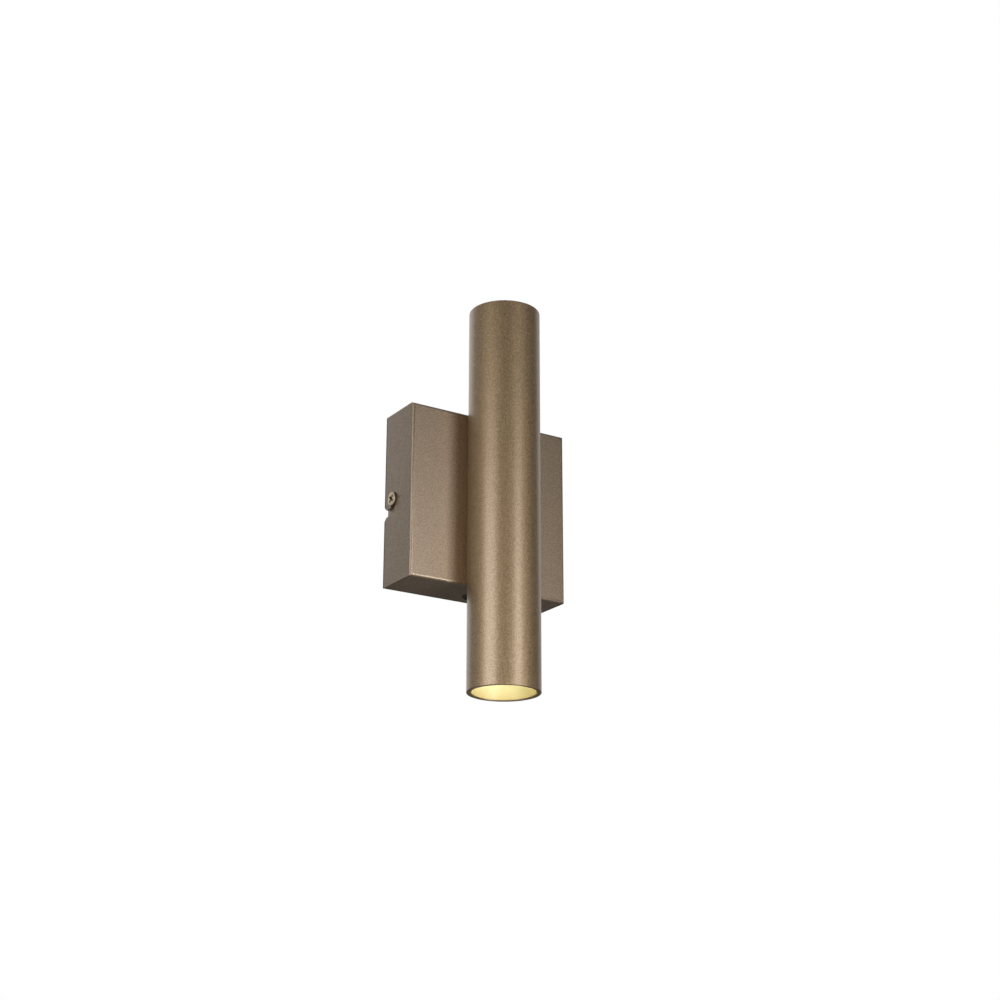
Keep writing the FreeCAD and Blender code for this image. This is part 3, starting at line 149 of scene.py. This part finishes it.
def powder_coat(name, dark, light, smoothest, roughest, resin_roughness, resin_ior):
    """Mica from a dark to a light tone, uneven with its grain and the peel, under clear resin."""
    resin = {"Coat Weight": 1.0, "Coat Roughness": resin_roughness, "Coat IOR": resin_ior}
    coat = start_finish(name, light, (smoothest + roughest) / 2, mica_shine, resin)
    mica = grain(coat, mica_grain, detail=3.0)
    peel = grain(coat, resin_peel)
    tint(coat, mica, [(0.39, dark), (0.61, light)])
    roughen(coat, mica, smoothest, roughest)
    uneven = add_node(coat.node_tree, "ShaderNodeMath", {"operation": "ADD"}, {0: mica, 1: peel})
    relief(coat, uneven.outputs["Value"], mica_raise)
    return coat


def dress(name, material):
    """Give a CAD piece its finish, and let its rounded faces shade smoothly between real corners."""
    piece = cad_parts[name]
    piece.data.materials.clear()
    piece.data.materials.append(material)
    for face in piece.data.polygons:
        face.use_smooth = True
    joined = piece.modifiers.new("joined", "WELD")
    joined.merge_threshold = same_point
    corners = piece.modifiers.new("corners", "EDGE_SPLIT")
    corners.split_angle = math.radians(sharp_from)
    corners.use_edge_sharp = False


bronze_coat = powder_coat(
    "bronze_powder_coat",
    bronze_dark,
    bronze_light,
    smoothest=0.46,
    roughest=0.58,
    resin_roughness=0.36,
    resin_ior=1.5,
)
dress("wall_plate", bronze_coat)


# Weld nuts: hexagon nuts of zinc-plated steel, projection-welded to the tabs' inner faces.
# Bright zinc is a pale blue-grey metal with a fine crystal grain and soft, streaky reflections.

zinc_pale = "c3c6c8"
zinc_grey = "a3a7aa"
zinc_crystal = 1.2 * MM
zinc_raise = 0.006 * MM

zinc_steel = start_finish("zinc_plated_steel", zinc_pale, roughness=0.34, metallic=1.0)
crystals = grain(zinc_steel, zinc_crystal, detail=3.0)
tint(zinc_steel, crystals, [(0.3, zinc_grey), (0.7, zinc_pale)])
roughen(zinc_steel, crystals, smoothest=0.26, roughest=0.42)
relief(zinc_steel, crystals, zinc_raise)
dress("weld_nuts", zinc_steel)


# Cable grommet: soft black rubber bush pushed into the wall plate's hole, so no edge cuts the cable.
# Moulded rubber is a dull brownish black with a greyish bloom and hardly any highlight.

rubber_black = "2a2723"
rubber_bloom = "3a362f"
bloom_patch = 2.5 * MM
mould_grain = 0.4 * MM
mould_raise = 0.01 * MM

rubber = start_finish("moulded_rubber", rubber_black, roughness=0.72)
bloom = grain(rubber, bloom_patch, detail=3.0)
tint(rubber, bloom, [(0.35, rubber_black), (0.7, rubber_bloom)])
roughen(rubber, bloom, smoothest=0.66, roughest=0.82)
relief(rubber, grain(rubber, mould_grain), mould_raise)
dress("cable_grommet", rubber)


# Cover screws: M4 screws with a low flat head and a cross recess, plated in a pale bronze tone and
# turned into the weld nuts. The plating is satin, with faint handling marks. Its recess and the foot
# of the head are painted dark brown as shade, and the head's face keeps the plating's pale tone.

screw_bronze = "ecd8bc"
screw_shade_brown = "57452f"
head_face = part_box("cover_screw_right")[1].x
shade_full_below = head_face - 0.5 * MM
shade_ends_above = head_face - 0.15 * MM
face_share = 0.8
handling_share = 0.3
handling_mark = 1.0 * MM
handling_raise = 0.008 * MM


def along(material, axis):
    """How far a point of the surface lies along X, Y or Z from the origin, in metres."""
    apart = add_node(material.node_tree, "ShaderNodeSeparateXYZ", links={"Vector": own_place(material)})
    return apart.outputs[axis]


screw_plating = start_finish("bronze_plating", screw_bronze, roughness=0.45, metallic=0.85)
tree = screw_plating.node_tree
outwards = add_node(tree, "ShaderNodeMath", {"operation": "ABSOLUTE"}, {0: along(screw_plating, "X")})
# Painted shade: the recess and the foot of the head lie deeper than the face and are coloured dark brown.
head = between(screw_plating, outwards.outputs["Value"], 0.0, face_share, shade_full_below, shade_ends_above)
handled = grain(screw_plating, handling_mark, detail=4.0)
mixing = {"operation": "MULTIPLY_ADD", 1: handling_share}
tone_shift = add_node(tree, "ShaderNodeMath", mixing, {0: handled, 2: head})
tint(screw_plating, tone_shift.outputs["Value"], [(0.1, screw_shade_brown), (0.95, screw_bronze)])
roughen(screw_plating, handled, smoothest=0.38, roughest=0.52)
relief(screw_plating, handled, handling_raise)
for side in ("left", "right"):
    dress(f"cover_screw_{side}", screw_plating)


# Box cover: 1 mm steel sheet, its four sides folded back with open corner seams, a hook slot in each
# side wall and a round opening for the tube. It is coated after folding, inside and out. A dark brown
# band of painted shade runs along the last millimetre by the back edge, where the cover meets the wall.

edge_shade_brown = "3c342a"
cut_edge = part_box("box_cover")[1].y
edge_shade_full_from = cut_edge - 0.6 * MM
edge_shade_starts = cut_edge - 1.4 * MM
# A Mix node's colour sockets share their names with others, so they go by number.
lower_colour, upper_colour, mixed_colour = 6, 7, 2

cover_coat = bronze_coat.copy()
cover_coat.name = "bronze_powder_coat_with_painted_edge_shade"
coat_colour = main_shader(cover_coat).inputs["Base Color"].links[0].from_socket
# Painted shade: a dark brown band along the back edge, where the cover meets the wall.
painted_edge_shade = between(cover_coat, along(cover_coat, "Y"), 0.0, 1.0, edge_shade_starts, edge_shade_full_from)
mixing = {"data_type": "RGBA", upper_colour: linear(edge_shade_brown)}
colours = {"Factor": painted_edge_shade, lower_colour: coat_colour}
shaded_edge = add_node(cover_coat.node_tree, "ShaderNodeMix", mixing, colours)
set_by(cover_coat, "Base Color", shaded_edge.outputs[mixed_colour])
dress("box_cover", cover_coat)


# Blind grommet: black rubber stop snapped into the cable entry in the cover's bottom face.
# It is the same dull moulded rubber as the cable grommet.

dress("entry_grommet", rubber)


# Tube bracket: hat section of 1.5 mm zinc-plated steel, its feet spot-welded behind the cover's front.
# Each weld leaves a shallow round dent in a low rim, tinted by the heat in patches of straw and blue.

bracket_low, bracket_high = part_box("tube_bracket")
bracket_sheet = 1.5 * MM
foot_width = 8 * MM
foot_face = bracket_low.y + bracket_sheet
foot_side = bracket_high.x - foot_width / 2
weld_spacing = 20 * MM
weld_steps = range(-2, 3)
weld_radius = 2.2 * MM
weld_rim = 0.12 * MM
rim_width_share = 0.3
dent_share = 0.6
weld_straw = "a08a55"
weld_blue = "5d6578"
heat_patch = 1.5 * MM
heat_raise = 0.01 * MM
new_sharp_from = 35


def only(kind, items):
    """The vertices, or the faces, among what an operator gives back."""
    return [item for item in items if isinstance(item, kind)]


def new_piece(name, shape, material, body):
    """A finished bmesh becomes a piece of the lamp, shaded smooth between its corners."""
    bmesh.ops.recalc_face_normals(shape, faces=shape.faces)
    mesh = bpy.data.meshes.new(name)
    shape.to_mesh(mesh)
    shape.free()
    mesh.materials.append(material)
    mesh.shade_smooth()
    mesh.set_sharp_from_angle(angle=math.radians(new_sharp_from))
    piece = bpy.data.objects.new(name, mesh)
    bpy.context.scene.collection.objects.link(piece)
    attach(piece, body)


dress("tube_bracket", zinc_steel)

weld_mark = start_finish("heat_tinted_steel", weld_straw, roughness=0.38, metallic=1.0)
heat = grain(weld_mark, heat_patch, detail=3.0)
tint(weld_mark, heat, [(0.35, weld_blue), (0.6, weld_straw)])
relief(weld_mark, heat, heat_raise)

welds = bmesh.new()
bmesh.ops.create_circle(welds, cap_ends=True, segments=24, radius=weld_radius)
raised = bmesh.ops.extrude_face_region(welds, geom=welds.faces[:])["geom"]
bmesh.ops.translate(welds, vec=(0, 0, weld_rim), verts=only(bmesh.types.BMVert, raised))
lid = only(bmesh.types.BMFace, raised)
rim_width = weld_radius * rim_width_share
bmesh.ops.inset_region(welds, faces=lid, thickness=rim_width, depth=-weld_rim * dent_share)
backwards = Matrix.Translation((0, foot_face, 0)) @ Matrix.Rotation(-math.pi / 2, 4, "X")
bmesh.ops.transform(welds, matrix=backwards, verts=welds.verts)
first_weld = welds.verts[:] + welds.edges[:] + welds.faces[:]
for side in (-foot_side, foot_side):
    for step in weld_steps:
        copied = bmesh.ops.duplicate(welds, geom=first_weld)["geom"]
        place = (side, 0, step * weld_spacing)
        bmesh.ops.translate(welds, vec=place, verts=only(bmesh.types.BMVert, copied))
bmesh.ops.delete(welds, geom=only(bmesh.types.BMVert, first_weld), context="VERTS")
new_piece("spot_welds", welds, weld_mark, "lamp")


# Lamp tube: steel tube 40 x 2 mm, cut square at both ends, deburred and coated inside as well. It has
# the cover's powder from another batch: a shade yellower, with duller mica under a glossier resin.

tube_light = "b89e7b"
tube_dark = "917a5b"

tube_coat = powder_coat(
    "bronze_powder_coat_on_tube",
    tube_dark,
    tube_light,
    smoothest=0.50,
    roughest=0.62,
    resin_roughness=0.30,
    resin_ior=1.6,
)
dress("lamp_tube", tube_coat)


# Backing bar, tube screws and washers: the screws pull the tube against the bracket by a threaded bar
# inside it. All of them are zinc-plated steel.

for name in ("backing_bar", "tube_screws", "tube_washers"):
    dress(name, zinc_steel)


# Lead bush: black nylon sleeve that keeps the leads off the edges of bracket, tube and bar.
# Moulded nylon has a soft satin skin with faint flow marks, which run along the lamp.

nylon_black = "1b1b1c"
nylon_worn = "29292a"
flow_mark = 3 * MM

black_nylon = start_finish("black_nylon", nylon_black, roughness=0.46)
flow = grain(black_nylon, flow_mark, stretch=(1, 1, 0.3))
tint(black_nylon, flow, [(0.35, nylon_black), (0.7, nylon_worn)])
roughen(black_nylon, flow, smoothest=0.40, roughest=0.55)
dress("lead_bush", black_nylon)


# Heat sinks: cast aluminium, a cup for the LED board with twelve fins behind it, one at each end, held
# by a plated screw through the back of the tube. A fine casting skin is pale and grainy, with no polish.

cast_pale = "c9cacb"
cast_grey = "a9abad"
casting_grain = 0.8 * MM
casting_raise = 0.03 * MM

cast_aluminium = start_finish("cast_aluminium", cast_pale, roughness=0.48, metallic=1.0)
skin = grain(cast_aluminium, casting_grain, detail=4.0)
tint(cast_aluminium, skin, [(0.3, cast_grey), (0.7, cast_pale)])
roughen(cast_aluminium, skin, smoothest=0.42, roughest=0.58)
relief(cast_aluminium, skin, casting_raise)
for end in ("top", "bottom"):
    dress(f"heat_sink_{end}", cast_aluminium)
    dress(f"module_screw_{end}", screw_plating)


# LED boards: aluminium-core circuit boards under white solder mask, each with a light chip whose round
# field is yellow phosphor gel on white ceramic, and two solder joints for the leads. The mask is a
# smooth, slightly uneven white lacquer, the gel is glossy, and the solder is a bright, frosted metal.

mask_white = "e6e6e1"
mask_shade = "d6d6cf"
mask_patch = 3 * MM
mask_raise = 0.01 * MM

solder_mask = start_finish("white_solder_mask", mask_white, roughness=0.32)
layer = grain(solder_mask, mask_patch)
tint(solder_mask, layer, [(0.35, mask_shade), (0.65, mask_white)])
relief(solder_mask, layer, mask_raise)

phosphor_yellow = "e6b93a"
phosphor_deep = "cf9c26"
ceramic_white = "ece9e0"
chip_low, chip_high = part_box("led_chip_top")
chip_radius = (chip_high.x - chip_low.x) / 2
tube_axis = (chip_high.y + chip_low.y) / 2


def from_tube_axis(material):
    """How far a point of the surface lies from the tube's axis, in metres."""
    flattened = {"Location": (0, -tube_axis, 0), "Scale": (1, 1, 0)}
    flat = add_node(material.node_tree, "ShaderNodeMapping", flattened, {"Vector": own_place(material)})
    measured = {0: flat.outputs["Vector"]}
    length = add_node(material.node_tree, "ShaderNodeVectorMath", {"operation": "LENGTH"}, measured)
    return length.outputs["Value"]


phosphor = start_finish("phosphor_gel", phosphor_yellow, roughness=0.28)
field = between(phosphor, from_tube_axis(phosphor), 0.0, 1.0, 0.0, chip_radius)
tint(phosphor, field, [(0.0, phosphor_deep), (0.72, phosphor_yellow), (0.78, ceramic_white)])

solder_grey = "c8cacb"
frost_grain = 0.5 * MM
frost_raise = 0.01 * MM
joint_radius = 1.15 * MM
joint_shape = (0.85, 1.0, 0.5)
joint_rise = 0.45 * joint_radius
joint_side = 1.1 * MM
joint_place = 6.9 * MM

solder = start_finish("soft_solder", solder_grey, roughness=0.25, metallic=1.0)
frost = grain(solder, frost_grain, detail=3.0)
roughen(solder, frost, smoothest=0.18, roughest=0.36)
relief(solder, frost, frost_raise)

for end, up in (("top", 1), ("bottom", -1)):
    dress(f"led_board_{end}", solder_mask)
    dress(f"led_chip_{end}", phosphor)
    dress(f"board_screws_{end}", zinc_steel)
    board_low, board_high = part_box(f"led_board_{end}")
    board_face = board_high.z if up > 0 else board_low.z
    joints = bmesh.new()
    for side in (-joint_side, joint_side):
        ball = bmesh.ops.create_uvsphere(joints, u_segments=20, v_segments=12, radius=joint_radius)
        squash = Matrix.Diagonal((*joint_shape, 1.0))
        bmesh.ops.transform(joints, matrix=squash, verts=ball["verts"])
        seat = (side, tube_axis + joint_place, board_face + up * joint_rise)
        bmesh.ops.translate(joints, vec=seat, verts=ball["verts"])
    new_piece(f"solder_joints_{end}", joints, solder, "lamp")


# Lenses: frosted polycarbonate discs that hide the chips and glow when the lamp is on, a little more
# over the chip than by the rim. The light is a warm white of about 2700 K, seen as cream yellow.

lens_body = "f3ead2"
light_over_chip = "fff4b2"
light_by_rim = "fbe9a0"
lit_radius = 9 * MM
lens_power = 2.9
etch_grain = 0.5 * MM
etch_raise = 0.01 * MM

glowing = {"Emission Strength": lens_power}
frosted_lens = start_finish("frosted_polycarbonate", lens_body, roughness=0.55, sockets=glowing)
glow = between(frosted_lens, from_tube_axis(frosted_lens), 0.0, 1.0, 0.0, lit_radius)
tint(frosted_lens, glow, [(0.3, light_over_chip), (1.0, light_by_rim)], socket="Emission Color")
etch = grain(frosted_lens, etch_grain, detail=3.0)
roughen(frosted_lens, etch, smoothest=0.48, roughest=0.62)
relief(frosted_lens, etch, etch_raise)
for end in ("top", "bottom"):
    dress(f"lens_{end}", frosted_lens)


# Reflectors: white moulded cones that line the two mouths and hold the lenses down. Their colour is
# painted lamp light: white by the lens, turning cream and then warm tan towards the mouth, as the
# lamp's warm glow on them fades. A soft hammered texture dents them and varies their roughness.

cone_lit_by_lens = "f2f3e6"
cone_middle = "ede9be"
cone_dimmer_by_mouth = "e0cc8c"
painted_glow_depth = 13 * MM
dimple_size = 1.2 * MM
dimple_raise = 0.06 * MM
tube_low, tube_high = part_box("lamp_tube")
tube_middle = (tube_high.z + tube_low.z) / 2
half_tube = (tube_high.z - tube_low.z) / 2

white_cone = start_finish("white_reflector", cone_middle, roughness=0.45)
tree = white_cone.node_tree
lowered = {"operation": "SUBTRACT", 1: tube_middle}
above = add_node(tree, "ShaderNodeMath", lowered, {0: along(white_cone, "Z")})
reach = add_node(tree, "ShaderNodeMath", {"operation": "ABSOLUTE"}, {0: above.outputs["Value"]})
# Painted lamp light: white deep inside, warmer and darker towards the mouth, where the glow is weaker.
glow_fade_to_mouth = between(white_cone, reach.outputs["Value"], 0.0, 1.0, half_tube - painted_glow_depth, half_tube)
tint(white_cone, glow_fade_to_mouth, [(0.0, cone_lit_by_lens), (0.5, cone_middle), (1.0, cone_dimmer_by_mouth)])
dimples = grain(white_cone, dimple_size, detail=1.0)
roughen(white_cone, dimples, smoothest=0.40, roughest=0.50)
relief(white_cone, dimples, dimple_raise)
for end in ("top", "bottom"):
    dress(f"reflector_{end}", white_cone)


# LED driver: white polycarbonate tub with a clip-in lid, screwed to the bracket, and the circuit board
# inside it. Moulded polycarbonate is a slightly warm white with a fine spark-eroded texture.

case_white = "e9e8e4"
case_shade = "dcdad4"
spark_grain = 0.6 * MM
spark_raise = 0.02 * MM

case_plastic = start_finish("white_polycarbonate", case_white, roughness=0.5)
spark = grain(case_plastic, spark_grain, detail=3.0)
tint(case_plastic, spark, [(0.3, case_shade), (0.7, case_white)])
roughen(case_plastic, spark, smoothest=0.44, roughest=0.58)
relief(case_plastic, spark, spark_raise)
for name in ("driver_case", "driver_lid"):
    dress(name, case_plastic)
dress("driver_screws", zinc_steel)

# Its board is glass fibre under a glossy green solder mask, a little lighter over the copper tracks.
board_green = "1f5a34"
board_track = "2c7044"
track_pitch = 9 * MM
track_width = 0.45 * MM

circuit_board = start_finish("green_solder_mask", board_green, roughness=0.34)
grid = {"Scale": 1 / track_pitch, "Mortar Size": track_width / track_pitch}
tracks = add_node(circuit_board.node_tree, "ShaderNodeTexBrick", grid, {"Vector": own_place(circuit_board)})
tint(circuit_board, tracks.outputs["Fac"], [(0.2, board_green), (0.8, board_track)])
dress("driver_board", circuit_board)

# The transformer is a black ferrite core with yellow polyester tape round the coil below and above it.
tape_yellow = "cfa92c"
ferrite_black = "2a2a2b"
tape_wrinkle = 0.8 * MM
tape_raise = 0.03 * MM
core_low, core_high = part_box("driver_transformer")
core_bands = [(0.0, tape_yellow), (0.33, ferrite_black), (0.67, tape_yellow)]

core_tape = start_finish("tape_on_ferrite", tape_yellow, roughness=0.42)
wraps = between(core_tape, along(core_tape, "Z"), 0.0, 1.0, core_low.z, core_high.z)
tint(core_tape, wraps, core_bands, "CONSTANT")
relief(core_tape, grain(core_tape, tape_wrinkle), tape_raise)
dress("driver_transformer", core_tape)

# The capacitor is an aluminium can in a glossy black shrink sleeve with a grey stripe along it.
sleeve_black = "141518"
sleeve_grey = "8f959b"
stripe_reach = 4 * MM
can_low, can_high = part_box("driver_capacitor")
can_middle = (can_high.z + can_low.z) / 2
sleeve_bands = [(0.0, sleeve_black), (0.42, sleeve_grey), (0.55, sleeve_black)]

shrink_sleeve = start_finish("shrink_sleeve", sleeve_black, roughness=0.22)
height = along(shrink_sleeve, "Z")
stripe = between(shrink_sleeve, height, 0.0, 1.0, can_middle - stripe_reach, can_middle + stripe_reach)
tint(shrink_sleeve, stripe, sleeve_bands, "CONSTANT")
dress("driver_capacitor", shrink_sleeve)

# The two headers that take the leads are moulded in green polyamide, with a satin skin.
header_green = "2f7d45"
header_shade = "256838"
header_patch = 1.5 * MM
header_raise = 0.02 * MM

header_plastic = start_finish("green_polyamide", header_green, roughness=0.44)
moulding = grain(header_plastic, header_patch)
tint(header_plastic, moulding, [(0.35, header_shade), (0.65, header_green)])
relief(header_plastic, moulding, header_raise)
for name in ("mains_header", "led_header"):
    dress(name, header_plastic)


# Terminal block: natural nylon body, three brass sleeves and steel clamp screws, screwed to the bracket.
# Natural nylon is a milky, slightly yellow white. Turned brass is bright, with fine rings round it.

nylon_milky = "dcd6c4"
nylon_yellow = "cfc7b0"
milky_patch = 4 * MM
nylon_grain = 0.7 * MM
nylon_raise = 0.015 * MM

natural_nylon = start_finish("natural_nylon", nylon_milky, roughness=0.42)
tint(natural_nylon, grain(natural_nylon, milky_patch), [(0.3, nylon_yellow), (0.7, nylon_milky)])
relief(natural_nylon, grain(natural_nylon, nylon_grain), nylon_raise)
dress("terminal_block", natural_nylon)

brass_bright = "d9b566"
brass_dull = "b8934a"
ring_grain = 0.3 * MM
ring_raise = 0.006 * MM

turned_brass = start_finish("turned_brass", brass_bright, roughness=0.28, metallic=1.0)
rings = grain(turned_brass, ring_grain, stretch=(1, 1, 6))
tint(turned_brass, rings, [(0.3, brass_dull), (0.7, brass_bright)])
relief(turned_brass, rings, ring_raise)
dress("terminal_sleeves", turned_brass)
for name in ("terminal_screws", "block_screws"):
    dress(name, zinc_steel)


# Earth point: tin-plated ring terminal under a screw in the bracket.
# Tin is a softer and warmer grey than zinc, and its skin is smoother.

tin_pale = "cfcdc8"
tin_grey = "b4b1aa"
dip_patch = 2 * MM
dip_raise = 0.01 * MM

tinned_copper = start_finish("tinned_copper", tin_pale, roughness=0.24, metallic=1.0)
dip = grain(tinned_copper, dip_patch)
tint(tinned_copper, dip, [(0.3, tin_grey), (0.7, tin_pale)])
relief(tinned_copper, dip, dip_raise)
dress("earth_ring", tinned_copper)
dress("earth_screw", zinc_steel)


# Leads: stranded copper in silicone insulation, brown and blue for the supply, green with a yellow
# stripe for the earth, and a thinner red and black pair from the driver to each LED board.
# Extruded silicone is satin, with faint ripples from the strands below.

strand_ripple = 1.2 * MM
ripple_raise = 0.02 * MM
insulation_roughness = 0.44


def insulation(name, colour, tone_shift):
    """Silicone of one colour over the strands."""
    material = start_finish(name, colour, insulation_roughness)
    ripples = grain(material, strand_ripple)
    tint(material, ripples, [(0.3, tone_shift), (0.7, colour)])
    relief(material, ripples, ripple_raise)
    return material


dress("live_lead", insulation("brown_insulation", "5a3219", "4a2813"))
dress("neutral_lead", insulation("blue_insulation", "1f4f96", "19407b"))

earth_green = "2f7a33"
earth_yellow = "d9c52b"
lead_low, lead_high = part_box("earth_lead")
earth_bands = [(0.0, earth_green), (0.35, earth_yellow), (0.65, earth_green)]

earth_insulation = start_finish("green_yellow_insulation", earth_green, insulation_roughness)
across_lead = between(earth_insulation, along(earth_insulation, "X"), 0.0, 1.0, lead_low.x, lead_high.x)
tint(earth_insulation, across_lead, earth_bands, "CONSTANT")
dress("earth_lead", earth_insulation)

red_insulation = insulation("red_insulation", "a3211c", "861b17")
black_insulation = insulation("black_insulation", "1a1a1a", "242424")
for end in ("top", "bottom"):
    dress(f"led_lead_plus_{end}", red_insulation)
    dress(f"led_lead_minus_{end}", black_insulation)


# Studio: a pale floor well below the wall lamp, a white surround and soft boxes round it. Floor and
# surround show their full brightness to the camera alone and light the object only faintly, so it
# hangs in dim surroundings, as the dark sides of the coat show in the photograph.

floor_height = -1.2
floor_half = 30.0
floor_pale = "efeeeb"
floor_worn = "e9e8e4"
floor_cloud = 0.4

floor_mesh = bpy.data.meshes.new("studio_floor")
floor_shape = bmesh.new()
bmesh.ops.create_grid(floor_shape, x_segments=1, y_segments=1, size=floor_half)
bmesh.ops.translate(floor_shape, vec=(0, 0, floor_height), verts=floor_shape.verts)
floor_shape.to_mesh(floor_mesh)
floor_shape.free()
floor = bpy.data.objects.new("studio_floor", floor_mesh)
bpy.context.scene.collection.objects.link(floor)
floor_paint = start_finish("pale_floor_paint", floor_pale, roughness=0.9)
clouds = grain(floor_paint, floor_cloud)
for socket in ("Base Color", "Emission Color"):
    tint(floor_paint, clouds, [(0.3, floor_worn), (0.7, floor_pale)], socket=socket)
rays = add_node(floor_paint.node_tree, "ShaderNodeLightPath")
set_by(floor_paint, "Emission Strength", rays.outputs["Is Camera Ray"])
floor_mesh.materials.append(floor_paint)

white = (1, 1, 1, 1)
surroundings = 0.05

world = bpy.data.worlds.new("studio_world")
bpy.context.scene.world = world
world.use_nodes = True
tree = world.node_tree
tree.nodes.clear()
rays = add_node(tree, "ShaderNodeLightPath")
lit = add_node(tree, "ShaderNodeBackground", {"Color": white, "Strength": surroundings})
shown = add_node(tree, "ShaderNodeBackground", {"Color": white, "Strength": 1.0})
seen = {0: rays.outputs["Is Camera Ray"], 1: lit.outputs["Background"], 2: shown.outputs["Background"]}
mixed = add_node(tree, "ShaderNodeMixShader", links=seen)
add_node(tree, "ShaderNodeOutputWorld", links={"Surface": mixed.outputs["Shader"]})

# The camera stands to the left and looks up from below, at a point near the tube's middle. Its angles
# are in degrees, and its lens and sensor in millimetres.
camera_azimuth = -32.363
camera_rise = 19.471
camera_roll = 0.132
camera_distance = 1.0034
camera_aim = (-2.717 * MM, tube_axis, -3.06 * MM)
lens_length = 65.915
sensor_width = 36
nearest_seen = 10 * MM

camera_data = bpy.data.cameras.new("studio_camera")
camera_data.lens = lens_length
camera_data.sensor_width = sensor_width
camera_data.clip_start = nearest_seen
camera = bpy.data.objects.new("studio_camera", camera_data)
bpy.context.scene.collection.objects.link(camera)
swung = Matrix.Rotation(math.radians(camera_azimuth), 4, "Z")
tilted = Matrix.Rotation(math.radians(90 + camera_rise), 4, "X")
rolled = Matrix.Rotation(math.radians(camera_roll), 4, "Z")
backed_off = Matrix.Translation((0, 0, camera_distance))
camera.matrix_world = Matrix.Translation(camera_aim) @ swung @ tilted @ rolled @ backed_off
bpy.context.scene.camera = camera
bpy.context.scene.view_settings.view_transform = "Standard"

lamp_distance = 0.9


def soft_box(name, azimuth, height, width, tall, power):
    """An area lamp aimed at the tube's middle. Its azimuth is counted as the camera's is."""
    lamp = bpy.data.lights.new(name, "AREA")
    lamp.shape = "RECTANGLE"
    lamp.size = width
    lamp.size_y = tall
    lamp.energy = power
    holder = bpy.data.objects.new(name, lamp)
    bpy.context.scene.collection.objects.link(holder)
    turn = math.radians(azimuth)
    middle = Vector((0, tube_axis, 0))
    stand = middle + Vector((math.sin(turn), -math.cos(turn), 0)) * lamp_distance + Vector((0, 0, height))
    aim = (middle - stand).to_track_quat("-Z", "Y").to_matrix().to_4x4()
    holder.matrix_world = Matrix.Translation(stand) @ aim


# Two tall soft boxes give the tube its pair of long highlights, and a low one lights it more towards
# its lower end. Weak ones stand behind the wall's plane, for the right side and the back. Azimuths are
# in degrees, heights and sizes in metres, powers in watts.
soft_box("soft_box_left", camera_azimuth - 43, height=-0.1, width=0.62, tall=0.9, power=5.8)
soft_box("soft_box_right", camera_azimuth + 44, height=-0.1, width=0.34, tall=0.9, power=3.4)
soft_box("soft_box_low", camera_azimuth + 42, height=-0.5, width=0.32, tall=0.5, power=4.8)
soft_box("soft_box_back_left", camera_azimuth - 110, height=0.42, width=0.8, tall=0.9, power=0.55)
soft_box("soft_box_back_right", 120, height=0.42, width=0.8, tall=0.9, power=1.2)
soft_box("soft_box_back", 180, height=0.42, width=0.8, tall=0.9, power=1.8)
